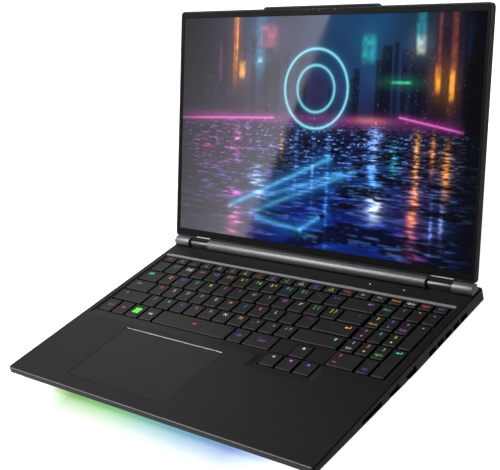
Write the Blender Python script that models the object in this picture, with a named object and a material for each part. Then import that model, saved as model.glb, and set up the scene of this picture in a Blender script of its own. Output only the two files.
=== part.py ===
"""A 16-inch gaming laptop computer, open, as separate pieces with working joints.

Units are metres and +Z is up. The laptop faces -Y and stands on its feet: the origin is on the
surface it stands on, at the middle of the open laptop's bounding box. Inside this file, y is
measured back from the deck's front edge and z up from the deck, and place() moves everything to
the origin. Lid pieces are drawn with the lid laid flat back, screen up: their y runs from the
hinge axis to the lid's top edge and their z is the height over the axis.
"""

import math

import bmesh
import bpy
from mathutils import Vector

MM = 0.001
GAP = 0.3 * MM                       # clearance between pieces that rest on each other

# Base: overall sizes
BASE_WIDTH = 355.0 * MM
DECK_DEPTH = 245.7 * MM
NOSE = 1.0 * MM                      # how far the front edge stands out below its chamfer
BASE_CORNER = 3.0 * MM
EDGE_CHAMFER = 0.8 * MM
CASE_WALL = 1.6 * MM
DECK_THICKNESS = 1.6 * MM
SKIRT_FRONT = 5.6 * MM               # height of the side wall at the front
SKIRT_REAR = 10.6 * MM               # and from the kink backwards
SKIRT_KINK = 135.0 * MM
BODY_DEPTH = 13.2 * MM               # deck to underside
FLOOR_THICKNESS = 1.5 * MM
SLOPE_STEPS = 8                      # sections of the lower cover's side in front of the kink
TAPER_SIDE = 9.0 * MM                # how far the underside draws in at the sides,
TAPER_REAR = 5.0 * MM                # the rear
TAPER_FRONT = 24.0 * MM              # and the front
FOOT_HEIGHT = 1.2 * MM

# Hinge
AXIS_FROM_REAR = 10.7 * MM
AXIS_HEIGHT = 2.6 * MM
BARREL_RADIUS = 5.2 * MM
BARREL_END = 1.5 * MM                # from the base's side to the barrel's end
KNUCKLE_LENGTH = 25.0 * MM
KNUCKLE_INSET = 22.0 * MM            # from the base's side to the knuckle
TROUGH_FLOOR = 3.7 * MM
TROUGH_CLEARANCE = 0.5 * MM
TROUGH_SKIN = 1.3 * MM
PIN_RADIUS = 1.6 * MM
PIN_LENGTH = 34.0 * MM
KNUCKLE_WALL = 1.6 * MM              # round the pin
LID_OPEN = math.radians(114.0)
BARREL_SIDES = 36

# Lid
LID_GAP = 0.65 * MM                  # bezel to deck when shut
LID_THICKNESS = 5.1 * MM
LID_NARROWING = 0.5 * MM             # the lid is this much narrower than the base on each side
LID_OVERHANG = 1.3 * MM              # past the deck's front edge when shut
HEEL_CLEARANCE = 0.7 * MM            # hinge barrel to the lid's lower edge
LID_CORNER = 4.0 * MM
LID_RIM = 1.5 * MM
LID_BACK = 1.2 * MM
CAMERA_BUMP = 2.0 * MM
CAMERA_BUMP_HALF = 64.0 * MM
CAMERA_BUMP_SLOPE = 3.0 * MM
SCREEN_WIDTH = 344.7 * MM            # lit area
SCREEN_HEIGHT = 215.4 * MM
SCREEN_SET_BACK = 0.4 * MM           # screen surface behind the bezel's
CHIN = 14.3 * MM                     # hinge axis to the lit area
PANEL_SEAT = 0.4 * MM                # room behind the screen and the camera board
BEZEL_THICKNESS = 2.5 * MM
CAMERA_BOARD = (44.0 * MM, 3.6 * MM, 0.6 * MM)

# Keyboard
KEY_PITCH = 18.35 * MM
KEY_GAP = 2.05 * MM
KEY_TOP = -0.3 * MM
KEY_THICKNESS = 1.3 * MM
KEY_TAPER = 0.7 * MM
KEY_TRAVEL = 1.4 * MM
WEB_THICKNESS = 0.4 * MM
WEB_WIDTH = 4.0 * MM
MAIN_UNITS = 15                      # the main block is this many keys wide
FUNCTION_KEYS = 16
PAD_PITCH = 14.8 * MM                # number pad
PAD_COLUMNS = 4
PAD_SPACING = 3.2 * MM               # main block to number pad
BLOCK_SHIFT = 0.1 * MM               # the keyboard's middle, right of the base's
SHIFT_ROW_FRONT = 126.75 * MM
BOTTOM_ROW_DEPTH = 18.7 * MM
FUNCTION_ROW_GAP = 2.4 * MM
FUNCTION_ROW_DEPTH = 8.5 * MM
ARROW_ROW_FRONT = 87.7 * MM
ARROW_DEPTH = 16.6 * MM
BOTTOM_ROW_UNITS = (1.0245, 1.0245, 1.0245, 1.0245, 5.071, 1.011, 1.747)
RECESS_DEPTH = 0.9 * MM              # the keys stand in a shallow recess
RECESS_MARGIN = 2.6 * MM             # keys to the recess's level floor edge
RECESS_WALL = 1.4 * MM               # width of its steep side walls
RECESS_RAMP = 7.6 * MM               # width of its sloping front
RECESS_RAMP_ARROWS = 6.0 * MM        # and of the slopes round the arrow keys
WINDOW_MARGIN = 1.1 * MM             # keys to the openings they move in
KEYS_TO_STRIP = 0.4 * MM
PLATE_THICKNESS = 0.8 * MM
PLATE_RIM = 4.0 * MM

# Deck fittings
STRIP_DEPTH = 3.1 * MM
STRIP_OVERHANG = 4.0 * MM            # past the keys on each side
STRIP_THICKNESS = 0.8 * MM
STRIP_PROUD = 0.1 * MM
PAD_X = (-107.9 * MM, 14.5 * MM)     # touchpad opening
PAD_Y = (13.0 * MM, 88.8 * MM)
PAD_CLEARANCE = 0.4 * MM
PAD_THICKNESS = 1.8 * MM
PAD_SUNK = 0.1 * MM
PAD_CORNER = 2.0 * MM
POWER_X = 95.4 * MM
POWER_FROM_STRIP = 9.2 * MM          # strip's rear edge to the button's middle line
POWER_LENGTH = 41.0 * MM
POWER_WIDTH = 5.2 * MM
POWER_THICKNESS = 1.4 * MM
POWER_CLEARANCE = 0.3 * MM

# Side openings. A port is (name, middle y, middle z, opening width, opening height, depth).
PORT_WALL = 0.5 * MM
PORT_BACK = 1.0 * MM
PORT_SINK = 0.4 * MM                 # the port's mouth is this far inside the wall
RIGHT_PORTS = (
    ("card_reader", 72.0 * MM, -5.5 * MM, 25.0 * MM, 2.3 * MM, 21.0 * MM),
    ("usb_a_port_front", 102.6 * MM, -7.4 * MM, 12.5 * MM, 4.7 * MM, 10.0 * MM),
    ("usb_a_port_rear", 127.6 * MM, -7.4 * MM, 12.5 * MM, 4.7 * MM, 10.0 * MM),
)
LEFT_PORTS = (
    ("dc_jack", 138.0 * MM, -7.2 * MM, 6.4 * MM, 4.4 * MM, 10.0 * MM),
    ("hdmi_port", 118.0 * MM, -7.2 * MM, 14.2 * MM, 4.7 * MM, 10.0 * MM),
    ("usb_c_port", 96.0 * MM, -6.9 * MM, 8.4 * MM, 2.7 * MM, 8.0 * MM),
    ("audio_jack", 78.0 * MM, -6.4 * MM, 3.6 * MM, 3.6 * MM, 12.0 * MM),
)
SIDE_VENT_START = 153.5 * MM
SIDE_VENT_PITCH = 12.6 * MM
SIDE_VENT_LENGTH = 11.6 * MM
SIDE_VENT_COUNT = 5
SIDE_VENT_TOP = 5.6 * MM
SIDE_VENT_SLANT = 1.2 * MM
REAR_VENT_FROM_FAN = 32.0 * MM       # rear vents start this far inside the fan's middle
REAR_VENT_PITCH = 7.5 * MM
REAR_VENT_LENGTH = 6.0 * MM
REAR_VENT_HEIGHT = 3.6 * MM
REAR_VENT_TOP = 5.8 * MM
REAR_VENT_COUNT = 8
INTAKE_SLOT = (2.2 * MM, 34.0 * MM)  # one slot's width and length
INTAKE_PITCH = 6.0 * MM
INTAKE_COUNT = 9

# Light bar under the front edge
LIGHT_FROM_SIDE = 32.5 * MM
LIGHT_WIDTH = 5.0 * MM
LIGHT_THICKNESS = 1.4 * MM
LIGHT_FROM_FRONT = 8.0 * MM

# Inside
FAN_FROM_SIDE = 45.5 * MM
FAN_Y = 184.0 * MM
FAN_SIZE = 62.0 * MM
FAN_HEIGHT = 6.4 * MM
FAN_WALL = 0.7 * MM
FAN_INLET_RADIUS = 20.0 * MM
ROTOR_RADIUS = 26.0 * MM
ROTOR_HUB_RADIUS = 12.0 * MM
ROTOR_HEIGHT = 4.2 * MM
ROTOR_BLADES = 17
FIN_LENGTH = 62.0 * MM
FIN_DEPTH = 7.0 * MM
FIN_COUNT = 16
FIN_THICKNESS = 0.8 * MM
FIN_ROOT = 1.2 * MM
BOARD_FROM_FAN = 6.0 * MM
BOARD_Y = (112.0 * MM, 226.0 * MM)
BOARD_THICKNESS = 1.2 * MM
BOARD_TOP = -7.7 * MM
BATTERY = (216.0 * MM, 72.0 * MM, 6.3 * MM)
BATTERY_FRONT = 30.0 * MM
SPEAKER = (52.0 * MM, 30.0 * MM, 5.0 * MM)
SPEAKER_FRONT = 26.0 * MM
SPEAKER_INSET = 15.0 * MM            # from the base's side
MEMORY = (67.6 * MM, 30.0 * MM, 2.6 * MM)
DRIVE = (80.0 * MM, 22.0 * MM, 2.3 * MM)
PIPE_THICKNESS = 2.0 * MM

# Feet
REAR_FOOT_FROM_SIDE = 27.5 * MM
REAR_FOOT_WIDTH = 8.0 * MM
REAR_FOOT_FROM_REAR = 24.0 * MM
FRONT_FOOT = (50.0 * MM, 6.0 * MM)
FRONT_FOOT_FROM_SIDE = 57.5 * MM
FRONT_FOOT_FROM_FRONT = 32.0 * MM

# Worked out from the sizes above
HALF_WIDTH = BASE_WIDTH / 2
AXIS_Y = DECK_DEPTH - AXIS_FROM_REAR
LID_HALF = HALF_WIDTH - LID_NARROWING
LID_HEEL = BARREL_RADIUS + HEEL_CLEARANCE
FAN_X = HALF_WIDTH - FAN_FROM_SIDE
BOARD_HALF_WIDTH = FAN_X - FAN_SIZE / 2 - BOARD_FROM_FAN
LIGHT_HALF = HALF_WIDTH - LIGHT_FROM_SIDE
LID_FACE = AXIS_HEIGHT - LID_GAP     # bezel surface over the axis, lid laid flat back
LID_TOP = AXIS_Y + LID_OVERHANG
CAVITY_FLOOR = -BODY_DEPTH + FLOOR_THICKNESS
MAIN_WIDTH = MAIN_UNITS * KEY_PITCH - KEY_GAP
PAD_BLOCK_WIDTH = PAD_COLUMNS * PAD_PITCH - KEY_GAP
KEYS_LEFT = BLOCK_SHIFT - (MAIN_WIDTH + PAD_SPACING + PAD_BLOCK_WIDTH) / 2
MAIN_RIGHT = KEYS_LEFT + MAIN_WIDTH
PAD_LEFT = MAIN_RIGHT + PAD_SPACING
KEYS_RIGHT = PAD_LEFT + PAD_BLOCK_WIDTH
KEY_DEPTH = KEY_PITCH - KEY_GAP
BOTTOM_ROW_FRONT = SHIFT_ROW_FRONT - KEY_GAP - BOTTOM_ROW_DEPTH
FUNCTION_ROW_FRONT = SHIFT_ROW_FRONT + 3 * KEY_PITCH + KEY_DEPTH + FUNCTION_ROW_GAP
FUNCTION_ROW_REAR = FUNCTION_ROW_FRONT + FUNCTION_ROW_DEPTH
WELL_REAR = FUNCTION_ROW_REAR + KEYS_TO_STRIP
STRIP_FRONT = WELL_REAR + GAP
KEY_BOTTOM = KEY_TOP - KEY_THICKNESS
PLATE_TOP = KEY_BOTTOM - KEY_TRAVEL - GAP
PLATE_BOTTOM = PLATE_TOP - PLATE_THICKNESS
ARROWS_LEFT = MAIN_RIGHT - 3 * KEY_PITCH + KEY_GAP

LID_REAR_Y = AXIS_Y - (LID_TOP + CAMERA_BUMP - EDGE_CHAMFER) * math.cos(LID_OPEN)
LID_REAR_Y += (LID_THICKNESS - LID_FACE) * math.sin(LID_OPEN)
ORIGIN_Y = (LID_REAR_Y - NOSE) / 2
ORIGIN_Z = -BODY_DEPTH - FOOT_HEIGHT

MATERIALS = {
    "case": ((0.035, 0.035, 0.038), 0.5, 0.6),
    "cover": ((0.03, 0.03, 0.032), 0.6, 0.3),
    "key": ((0.02, 0.02, 0.022), 0.6, 0.0),
    "silver": ((0.42, 0.42, 0.44), 0.35, 1.0),
    "barrel": ((0.28, 0.28, 0.3), 0.4, 0.9),
    "glass": ((0.01, 0.01, 0.015), 0.08, 0.0),
    "bezel": ((0.008, 0.008, 0.009), 0.35, 0.0),
    "light": ((0.55, 0.85, 0.7), 0.4, 0.0),
    "steel": ((0.5, 0.5, 0.52), 0.35, 1.0),
    "plastic": ((0.02, 0.02, 0.02), 0.5, 0.0),
    "board": ((0.02, 0.09, 0.05), 0.5, 0.0),
    "copper": ((0.72, 0.4, 0.25), 0.35, 1.0),
    "rubber": ((0.02, 0.02, 0.02), 0.85, 0.0),
}


# ---------------------------------------------------------------- making tools

def material(name):
    """The named Principled material, made once."""
    found = bpy.data.materials.get(name)
    if found:
        return found
    colour, roughness, metallic = MATERIALS[name]
    made = bpy.data.materials.new(name)
    made.use_nodes = True
    shader = made.node_tree.nodes["Principled BSDF"]
    shader.inputs["Base Color"].default_value = (*colour, 1.0)
    shader.inputs["Roughness"].default_value = roughness
    shader.inputs["Metallic"].default_value = metallic
    return made


def make(name, finish, vertices, faces):
    """An object from vertices and faces, with its faces turned outwards."""
    mesh = bpy.data.meshes.new(name)
    shape = bmesh.new()
    points = [shape.verts.new(v) for v in vertices]
    for face in faces:
        shape.faces.new([points[i] for i in face])
    bmesh.ops.recalc_face_normals(shape, faces=shape.faces)
    shape.to_mesh(mesh)
    shape.free()
    mesh.materials.append(material(finish))
    thing = bpy.data.objects.new(name, mesh)
    bpy.context.collection.objects.link(thing)
    return thing


def loft(name, finish, loops):
    """A closed solid through loops of points, each loop with the same number of points."""
    count = len(loops[0])
    vertices = [p for loop in loops for p in loop]
    faces = [tuple(range(count)), tuple(range(len(vertices) - count, len(vertices)))]
    for level in range(len(loops) - 1):
        low = level * count
        for i in range(count):
            j = (i + 1) % count
            faces.append((low + i, low + j, low + count + j, low + count + i))
    return make(name, finish, vertices, faces)


def upright(name, finish, outline, bottom, top):
    """A plan outline raised from one height to another."""
    return loft(name, finish, [[(x, y, z) for x, y in outline] for z in (bottom, top)])


def across(name, finish, profile, left, right):
    """A side profile of (y, z) points drawn out from one x to another."""
    return loft(name, finish, [[(x, y, z) for y, z in profile] for x in (left, right)])


def box(name, finish, x, y, z):
    """A block between pairs of x, y and z."""
    outline = [(x[0], y[0]), (x[1], y[0]), (x[1], y[1]), (x[0], y[1])]
    return upright(name, finish, outline, z[0], z[1])


def rounded(x, y, radius, steps=4):
    """A rectangle's outline with rounded corners, as (x, y) points."""
    corners = ((x[1], y[0], -90), (x[1], y[1], 0), (x[0], y[1], 90), (x[0], y[0], 180))
    points = []
    for corner_x, corner_y, start in corners:
        centre_x = corner_x + (radius if corner_x == x[0] else -radius)
        centre_y = corner_y + (radius if corner_y == y[0] else -radius)
        for step in range(steps + 1):
            angle = math.radians(start + 90 * step / steps)
            points.append((centre_x + radius * math.cos(angle), centre_y + radius * math.sin(angle)))
    return points


def circle(centre, radius, sides):
    """A regular polygon's points round a centre."""
    return [(centre[0] + radius * math.cos(2 * math.pi * i / sides),
             centre[1] + radius * math.sin(2 * math.pi * i / sides)) for i in range(sides)]


def combine(target, tool, operation="DIFFERENCE"):
    """Cut the tool from the target, or join it on, and throw the tool away."""
    step = target.modifiers.new("combine", "BOOLEAN")
    step.operation = operation
    step.solver = "EXACT"
    step.object = tool
    graph = bpy.context.evaluated_depsgraph_get()
    old = target.data
    target.data = bpy.data.meshes.new_from_object(target.evaluated_get(graph))
    target.data.name = target.name
    target.modifiers.clear()
    bpy.data.meshes.remove(old)
    bpy.data.objects.remove(tool)


def cut_each(target, tools):
    """Cut every tool from the target."""
    for tool in tools:
        combine(target, tool)


def smooth(thing, angle=40):
    """Round faces shaded smooth, with sharp edges kept."""
    thing.data.shade_smooth()
    thing.data.set_sharp_from_angle(angle=math.radians(angle))


def pivot(name, y, z, turn=0.0):
    """An empty on a joint's axis, which carries the pieces that move with it."""
    empty = bpy.data.objects.new(name, None)
    empty.location = (0, y, z)
    empty.rotation_euler = (turn, 0, 0)
    bpy.context.collection.objects.link(empty)
    return empty


def recentre(thing, x, y, z):
    """Move an object's origin to a point without moving its shape."""
    for vertex in thing.data.vertices:
        vertex.co -= Vector((x, y, z))
    thing.location = (x, y, z)


# ---------------------------------------------------------------- base shells

def skirt_edge(y):
    """Height of the side wall's lower edge: it falls evenly to the kink, then runs level."""
    share = min(max((y + NOSE) / (SKIRT_KINK + NOSE), 0.0), 1.0)
    return -(SKIRT_FRONT + (SKIRT_REAR - SKIRT_FRONT) * share)


def base_outline(inset, corner=BASE_CORNER):
    """The base's plan outline, drawn in by an inset."""
    x = HALF_WIDTH - inset
    return rounded((-x, x), (-NOSE + inset, DECK_DEPTH - inset), max(corner - inset, 0.6 * MM))


def below_skirt(name, clearance, bottom):
    """A tool that holds everything under the side wall's lower edge."""
    reach = HALF_WIDTH + 10 * MM
    front = -10 * MM
    slope = (SKIRT_REAR - SKIRT_FRONT) / (SKIRT_KINK + NOSE)
    start = -SKIRT_FRONT - slope * (front + NOSE) + clearance
    rear = DECK_DEPTH + 10 * MM
    level = -SKIRT_REAR + clearance
    profile = [(front, start), (SKIRT_KINK, level), (rear, level), (rear, bottom), (front, bottom)]
    return across(name, "plastic", profile, -reach, reach)


def beside_cover(side, wall, floor):
    """A tool that holds everything outside the lower cover's side, which slopes from the skirt's edge
    in to the floor. The tool's slope runs on a little past both."""
    start = HALF_WIDTH - GAP - wall
    end = HALF_WIDTH - TAPER_SIDE - wall
    out = HALF_WIDTH + 10 * MM
    step = (SKIRT_KINK + NOSE) / SLOPE_STEPS
    places = [-NOSE + i * step for i in range(SLOPE_STEPS + 1)] + [DECK_DEPTH + 10 * MM]
    loops = []
    for y in places:
        edge = skirt_edge(y) - GAP
        slope = [(start + (end - start) * share, edge + (floor - edge) * share) for share in (-0.1, 1.3)]
        section = [(out, slope[0][1])] + slope + [(out, slope[1][1])]
        loops.append([(side * x, y, z) for x, z in section])
    return loft("tool", "plastic", loops)


def port_box(port, side, grow, name, finish, reach_out):
    """A block round a port's shell: side is 1 on the right and -1 on the left."""
    _, y, z, width, height, depth = port
    mouth = HALF_WIDTH - PORT_SINK
    wide = width / 2 + PORT_WALL + grow
    tall = height / 2 + PORT_WALL + grow
    xs = sorted((side * (mouth - depth - PORT_BACK - grow), side * (mouth + reach_out)))
    return box(name, finish, xs, (y - wide, y + wide), (z - tall, z + tall))


def port_tools():
    """Tools that let every port through a wall."""
    tools = []
    for side, ports in ((1, RIGHT_PORTS), (-1, LEFT_PORTS)):
        for port in ports:
            tools.append(port_box(port, side, GAP, "tool", "plastic", 4 * MM))
    return tools


def recess_outline(margin, side=0.0, front=0.0, arrows=0.0, rear=0.0):
    """Plan round all the keys, with a dip for the arrow keys, each side moved out by its own amount."""
    left = KEYS_LEFT - margin - side
    right = KEYS_RIGHT + margin + side
    low = BOTTOM_ROW_FRONT - margin - front
    dip = ARROW_ROW_FRONT - margin - arrows
    dip_left = ARROWS_LEFT - margin - arrows
    dip_right = MAIN_RIGHT + margin + arrows
    back = WELL_REAR + rear
    return [(left, low), (dip_left, low), (dip_left, dip), (dip_right, dip), (dip_right, low),
            (right, low), (right, back), (left, back)]


def recess_tool():
    """The shallow recess round the keys, with steep sides and a sloping front."""
    floor = recess_outline(RECESS_MARGIN)
    rim = recess_outline(RECESS_MARGIN, RECESS_WALL, RECESS_RAMP, RECESS_RAMP_ARROWS)
    return loft("tool", "plastic", [[(x, y, -RECESS_DEPTH) for x, y in floor],
                                    [(x, y, 0.0) for x, y in rim],
                                    [(x, y, 2 * MM) for x, y in rim]])


def key_windows():
    """The openings that the keys move in: one round the main block and number pad, one round the arrows."""
    m = WINDOW_MARGIN
    left = KEYS_LEFT - m
    right = KEYS_RIGHT + m
    low = BOTTOM_ROW_FRONT - m
    shift = SHIFT_ROW_FRONT - m
    row_end = KEYS_LEFT + sum(units(*BOTTOM_ROW_UNITS)) + (len(BOTTOM_ROW_UNITS) - 1) * KEY_GAP + m
    block = [(left, low), (row_end, low), (row_end, shift), (PAD_LEFT - m, shift), (PAD_LEFT - m, low),
             (right, low), (right, WELL_REAR), (left, WELL_REAR)]
    up_left = ARROWS_LEFT + KEY_PITCH - m
    up_right = up_left + KEY_DEPTH + 2 * m
    low = ARROW_ROW_FRONT - m
    step = ARROW_ROW_FRONT + ARROW_DEPTH + m
    top = BOTTOM_ROW_FRONT + ARROW_DEPTH + m
    arrows = [(ARROWS_LEFT - m, low), (MAIN_RIGHT + m, low), (MAIN_RIGHT + m, step), (up_right, step),
              (up_right, top), (up_left, top), (up_left, step), (ARROWS_LEFT - m, step)]
    return [upright("tool", "plastic", outline, -4 * MM, 2 * MM) for outline in (block, arrows)]


def side_vents():
    """Slanted notches in the lower edge of both side walls."""
    tools = []
    for i in range(SIDE_VENT_COUNT):
        y = SIDE_VENT_START + i * SIDE_VENT_PITCH
        profile = [(y, -SKIRT_REAR - 1 * MM), (y + SIDE_VENT_LENGTH - SIDE_VENT_SLANT, -SKIRT_REAR - 1 * MM),
                   (y + SIDE_VENT_LENGTH, -SIDE_VENT_TOP), (y + SIDE_VENT_SLANT, -SIDE_VENT_TOP)]
        for side in (1, -1):
            xs = sorted((side * (HALF_WIDTH - CASE_WALL - 1 * MM), side * (HALF_WIDTH + 1 * MM)))
            tools.append(across("tool", "plastic", profile, *xs))
    return tools


def rear_vents():
    """Two rows of openings in the rear wall."""
    tools = []
    for i in range(REAR_VENT_COUNT):
        for side in (1, -1):
            x = side * (FAN_X - REAR_VENT_FROM_FAN + i * REAR_VENT_PITCH)
            xs = sorted((x, x + side * REAR_VENT_LENGTH))
            ys = (DECK_DEPTH - CASE_WALL - 1 * MM, DECK_DEPTH + 1 * MM)
            tools.append(box("tool", "plastic", xs, ys, (-REAR_VENT_TOP - REAR_VENT_HEIGHT, -REAR_VENT_TOP)))
    return tools


def power_outline(grow):
    """Plan of the power button, a bar with round ends."""
    y = STRIP_FRONT + STRIP_DEPTH + POWER_FROM_STRIP
    half = POWER_LENGTH / 2 + grow
    wide = POWER_WIDTH / 2 + grow
    return rounded((POWER_X - half, POWER_X + half), (y - wide, y + wide), wide * 0.98, steps=5)


def trough_y(grow=0.0):
    """Front and rear of the trough that the hinge barrel lies in."""
    reach = BARREL_RADIUS + TROUGH_CLEARANCE + grow
    return (AXIS_Y - reach, AXIS_Y + reach)


def top_case():
    """Deck and side walls in one shell, open below."""
    deck = base_outline(EDGE_CHAMFER)
    wall = base_outline(0.0)
    case = loft("top_case", "case", [[(x, y, -SKIRT_REAR) for x, y in wall],
                                     [(x, y, -EDGE_CHAMFER) for x, y in wall],
                                     [(x, y, 0.0) for x, y in deck]])
    far_below = -30 * MM
    above = 2 * MM
    inner = HALF_WIDTH - CASE_WALL
    split = trough_y()[0] - TROUGH_SKIN
    combine(case, below_skirt("tool", 0.0, far_below))
    front_cavity = rounded((-inner, inner), (CASE_WALL - NOSE, split), 1.5 * MM)
    combine(case, upright("tool", "plastic", front_cavity, far_below, -DECK_THICKNESS))
    rear_cavity = rounded((-inner, inner), (split - 20 * MM, DECK_DEPTH - CASE_WALL), 1.5 * MM)
    combine(case, upright("tool", "plastic", rear_cavity, far_below, -TROUGH_FLOOR - TROUGH_SKIN))
    end = HALF_WIDTH - BARREL_END + GAP
    combine(case, box("tool", "plastic", (-end, end), trough_y(), (-TROUGH_FLOOR, above)))
    combine(case, recess_tool())
    cut_each(case, key_windows())
    strip_x = (KEYS_LEFT - STRIP_OVERHANG - GAP, KEYS_RIGHT + STRIP_OVERHANG + GAP)
    strip_y = (WELL_REAR - 1 * MM, STRIP_FRONT + STRIP_DEPTH + GAP)
    combine(case, box("tool", "plastic", strip_x, strip_y, (STRIP_PROUD - STRIP_THICKNESS - GAP, above)))
    combine(case, upright("tool", "plastic", rounded(PAD_X, PAD_Y, PAD_CORNER), -4 * MM, above))
    combine(case, upright("tool", "plastic", power_outline(POWER_CLEARANCE), -4 * MM, above))
    cut_each(case, port_tools())
    cut_each(case, side_vents())
    cut_each(case, rear_vents())
    return case


def cover_loops(wall, top, floor):
    """Loops of the lower cover: upright sides, a front and a rear drawn in to the floor."""
    shoulder = -SKIRT_REAR - GAP
    share = (shoulder + SKIRT_FRONT) / (-BODY_DEPTH + SKIRT_FRONT)
    x = HALF_WIDTH - GAP - wall
    loops = []
    for z, rear, front in ((top, GAP, GAP), (-SKIRT_FRONT, GAP, GAP),
                           (shoulder, GAP, TAPER_FRONT * share), (floor, TAPER_REAR, TAPER_FRONT)):
        outline = rounded((-x, x), (-NOSE + front + wall, DECK_DEPTH - rear - wall), BASE_CORNER)
        loops.append([(px, py, z) for px, py in outline])
    return loops


def light_frame():
    """Middle point and direction of the slope under the front edge, as (y, z) pairs."""
    run = Vector((TAPER_FRONT - GAP, -BODY_DEPTH + SKIRT_FRONT)).normalized()
    start = Vector((-NOSE + GAP, -SKIRT_FRONT))
    return start + run * LIGHT_FROM_FRONT, run


def light_profile(grow, outside, inside):
    """Section of the light bar, lying in the slope."""
    middle, run = light_frame()
    inward = Vector((-run.y, run.x))
    half = LIGHT_WIDTH / 2 + grow
    corners = ((-half, -outside), (half, -outside), (half, inside), (-half, inside))
    return [tuple(middle + run * along + inward * deep) for along, deep in corners]


def bottom_cover():
    """The tray under the base, with air intakes, its edges drawn in."""
    cover = loft("bottom_cover", "cover", cover_loops(0.0, -4 * MM, -BODY_DEPTH))
    cavity = loft("cavity", "plastic", cover_loops(CASE_WALL, -2 * MM, CAVITY_FLOOR))
    for side in (1, -1):
        combine(cover, beside_cover(side, 0.0, -BODY_DEPTH))
        combine(cavity, beside_cover(side, CASE_WALL, CAVITY_FLOOR))
    combine(cover, cavity)
    above = below_skirt("tool", -GAP, 20 * MM)
    combine(cover, above)
    cut_each(cover, port_tools())
    half = LIGHT_HALF + GAP
    combine(cover, across("tool", "plastic", light_profile(GAP, 4 * MM, 6 * MM), -half, half))
    for side in (1, -1):
        for i in range(INTAKE_COUNT):
            x = side * FAN_X + (i - (INTAKE_COUNT - 1) / 2) * INTAKE_PITCH
            xs = (x - INTAKE_SLOT[0] / 2, x + INTAKE_SLOT[0] / 2)
            ys = (FAN_Y - INTAKE_SLOT[1] / 2, FAN_Y + INTAKE_SLOT[1] / 2)
            combine(cover, box("tool", "plastic", xs, ys, (-BODY_DEPTH - 2 * MM, CAVITY_FLOOR + 1 * MM)))
    return cover


def light_bar():
    """The diffuser that throws the glow under the front edge."""
    profile = light_profile(0.0, 0.0, LIGHT_THICKNESS)
    return across("light_bar", "light", profile, -LIGHT_HALF, LIGHT_HALF)


def accent_strip():
    """The bright strip between the keys and the hinge."""
    xs = (KEYS_LEFT - STRIP_OVERHANG, KEYS_RIGHT + STRIP_OVERHANG)
    ys = (STRIP_FRONT, STRIP_FRONT + STRIP_DEPTH)
    return box("accent_strip", "silver", xs, ys, (STRIP_PROUD - STRIP_THICKNESS, STRIP_PROUD))


def feet():
    """One long rear foot and two short front feet."""
    bottom = -BODY_DEPTH - FOOT_HEIGHT
    height = (bottom, bottom + FOOT_HEIGHT - GAP)
    y = DECK_DEPTH - REAR_FOOT_FROM_REAR
    half = HALF_WIDTH - REAR_FOOT_FROM_SIDE
    outline = rounded((-half, half), (y, y + REAR_FOOT_WIDTH), 3.5 * MM)
    upright("foot_rear", "rubber", outline, *height)
    y = FRONT_FOOT_FROM_FRONT
    for name, side in (("foot_front_left", -1), ("foot_front_right", 1)):
        x = side * (HALF_WIDTH - FRONT_FOOT_FROM_SIDE)
        outline = rounded((x - FRONT_FOOT[0] / 2, x + FRONT_FOOT[0] / 2), (y, y + FRONT_FOOT[1]), 2.5 * MM)
        upright(name, "rubber", outline, *height)


def ports():
    """The sockets in both sides, each a shell with a blind mouth."""
    for side, group in ((1, RIGHT_PORTS), (-1, LEFT_PORTS)):
        for port in group:
            name, y, z, width, height, depth = port
            shell = port_box(port, side, 0.0, name, "steel", 0.0)
            mouth = HALF_WIDTH - PORT_SINK
            xs = sorted((side * (mouth - depth), side * (mouth + 2 * MM)))
            combine(shell, box("tool", "plastic", xs, (y - width / 2, y + width / 2),
                               (z - height / 2, z + height / 2)))
            combine(shell, beside_cover(side, 0.0, -BODY_DEPTH))


# ---------------------------------------------------------------- keyboard and deck controls

def keyboard_plate():
    """The tray under the keys, with a rim that closes the key well."""
    outer = recess_outline(WINDOW_MARGIN + PLATE_RIM, rear=PLATE_RIM)
    plate = upright("keyboard_plate", "plastic", outer, PLATE_BOTTOM, -DECK_THICKNESS - GAP)
    combine(plate, upright("tool", "plastic", recess_outline(WINDOW_MARGIN), PLATE_TOP, 2 * MM))
    return plate


def key_solid(name, x, y):
    """One keycap: a block with drawn-in sides, between pairs of x and y."""
    loops = []
    for z, inset in ((KEY_BOTTOM, 0.0), (KEY_TOP, KEY_TAPER)):
        loops.append([(x[0] + inset, y[0] + inset, z), (x[1] - inset, y[0] + inset, z),
                      (x[1] - inset, y[1] - inset, z), (x[0] + inset, y[1] - inset, z)])
    return loft(name, "key", loops)


def key_group(name, keys, webs):
    """Keys that move together, joined by thin webs under them, each key and web a pair of pairs."""
    group = None
    for x, y in webs:
        web = box(name, "key", x, y, (KEY_BOTTOM, KEY_BOTTOM + WEB_THICKNESS))
        if group:
            combine(group, web, "UNION")
        else:
            group = web
    for x, y in keys:
        cap = key_solid(name, x, y)
        if group:
            combine(group, cap, "UNION")
        else:
            group = cap
    centre = [(min(k[i][0] for k in keys) + max(k[i][1] for k in keys)) / 2 for i in (0, 1)]
    group.name = name
    recentre(group, centre[0], centre[1], KEY_TOP)
    return group


def row_of(left, widths, front, depth):
    """Keys side by side from the left, by their widths."""
    keys = []
    x = left
    for width in widths:
        keys.append(((x, x + width), (front, front + depth)))
        x += width + KEY_GAP
    return keys


def units(*sizes):
    """Key widths from sizes in key units."""
    return [size * KEY_PITCH - KEY_GAP for size in sizes]


def row_web(keys):
    """The web along a row of keys, under their middles and clear of the end keys' outer sides."""
    y = (keys[0][1][0] + keys[0][1][1]) / 2
    return ((keys[0][0][0] + 2 * MM, keys[-1][0][1] - 2 * MM), (y - WEB_WIDTH / 2, y + WEB_WIDTH / 2))


def joined_row(name, keys):
    """A row of keys on one web."""
    return key_group(name, keys, [row_web(keys)])


def pad_key(column, front, depth, columns=1):
    """A number pad key, from its column and its front."""
    left = PAD_LEFT + column * PAD_PITCH
    return ((left, left + columns * PAD_PITCH - KEY_GAP), (front, front + depth))


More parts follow.
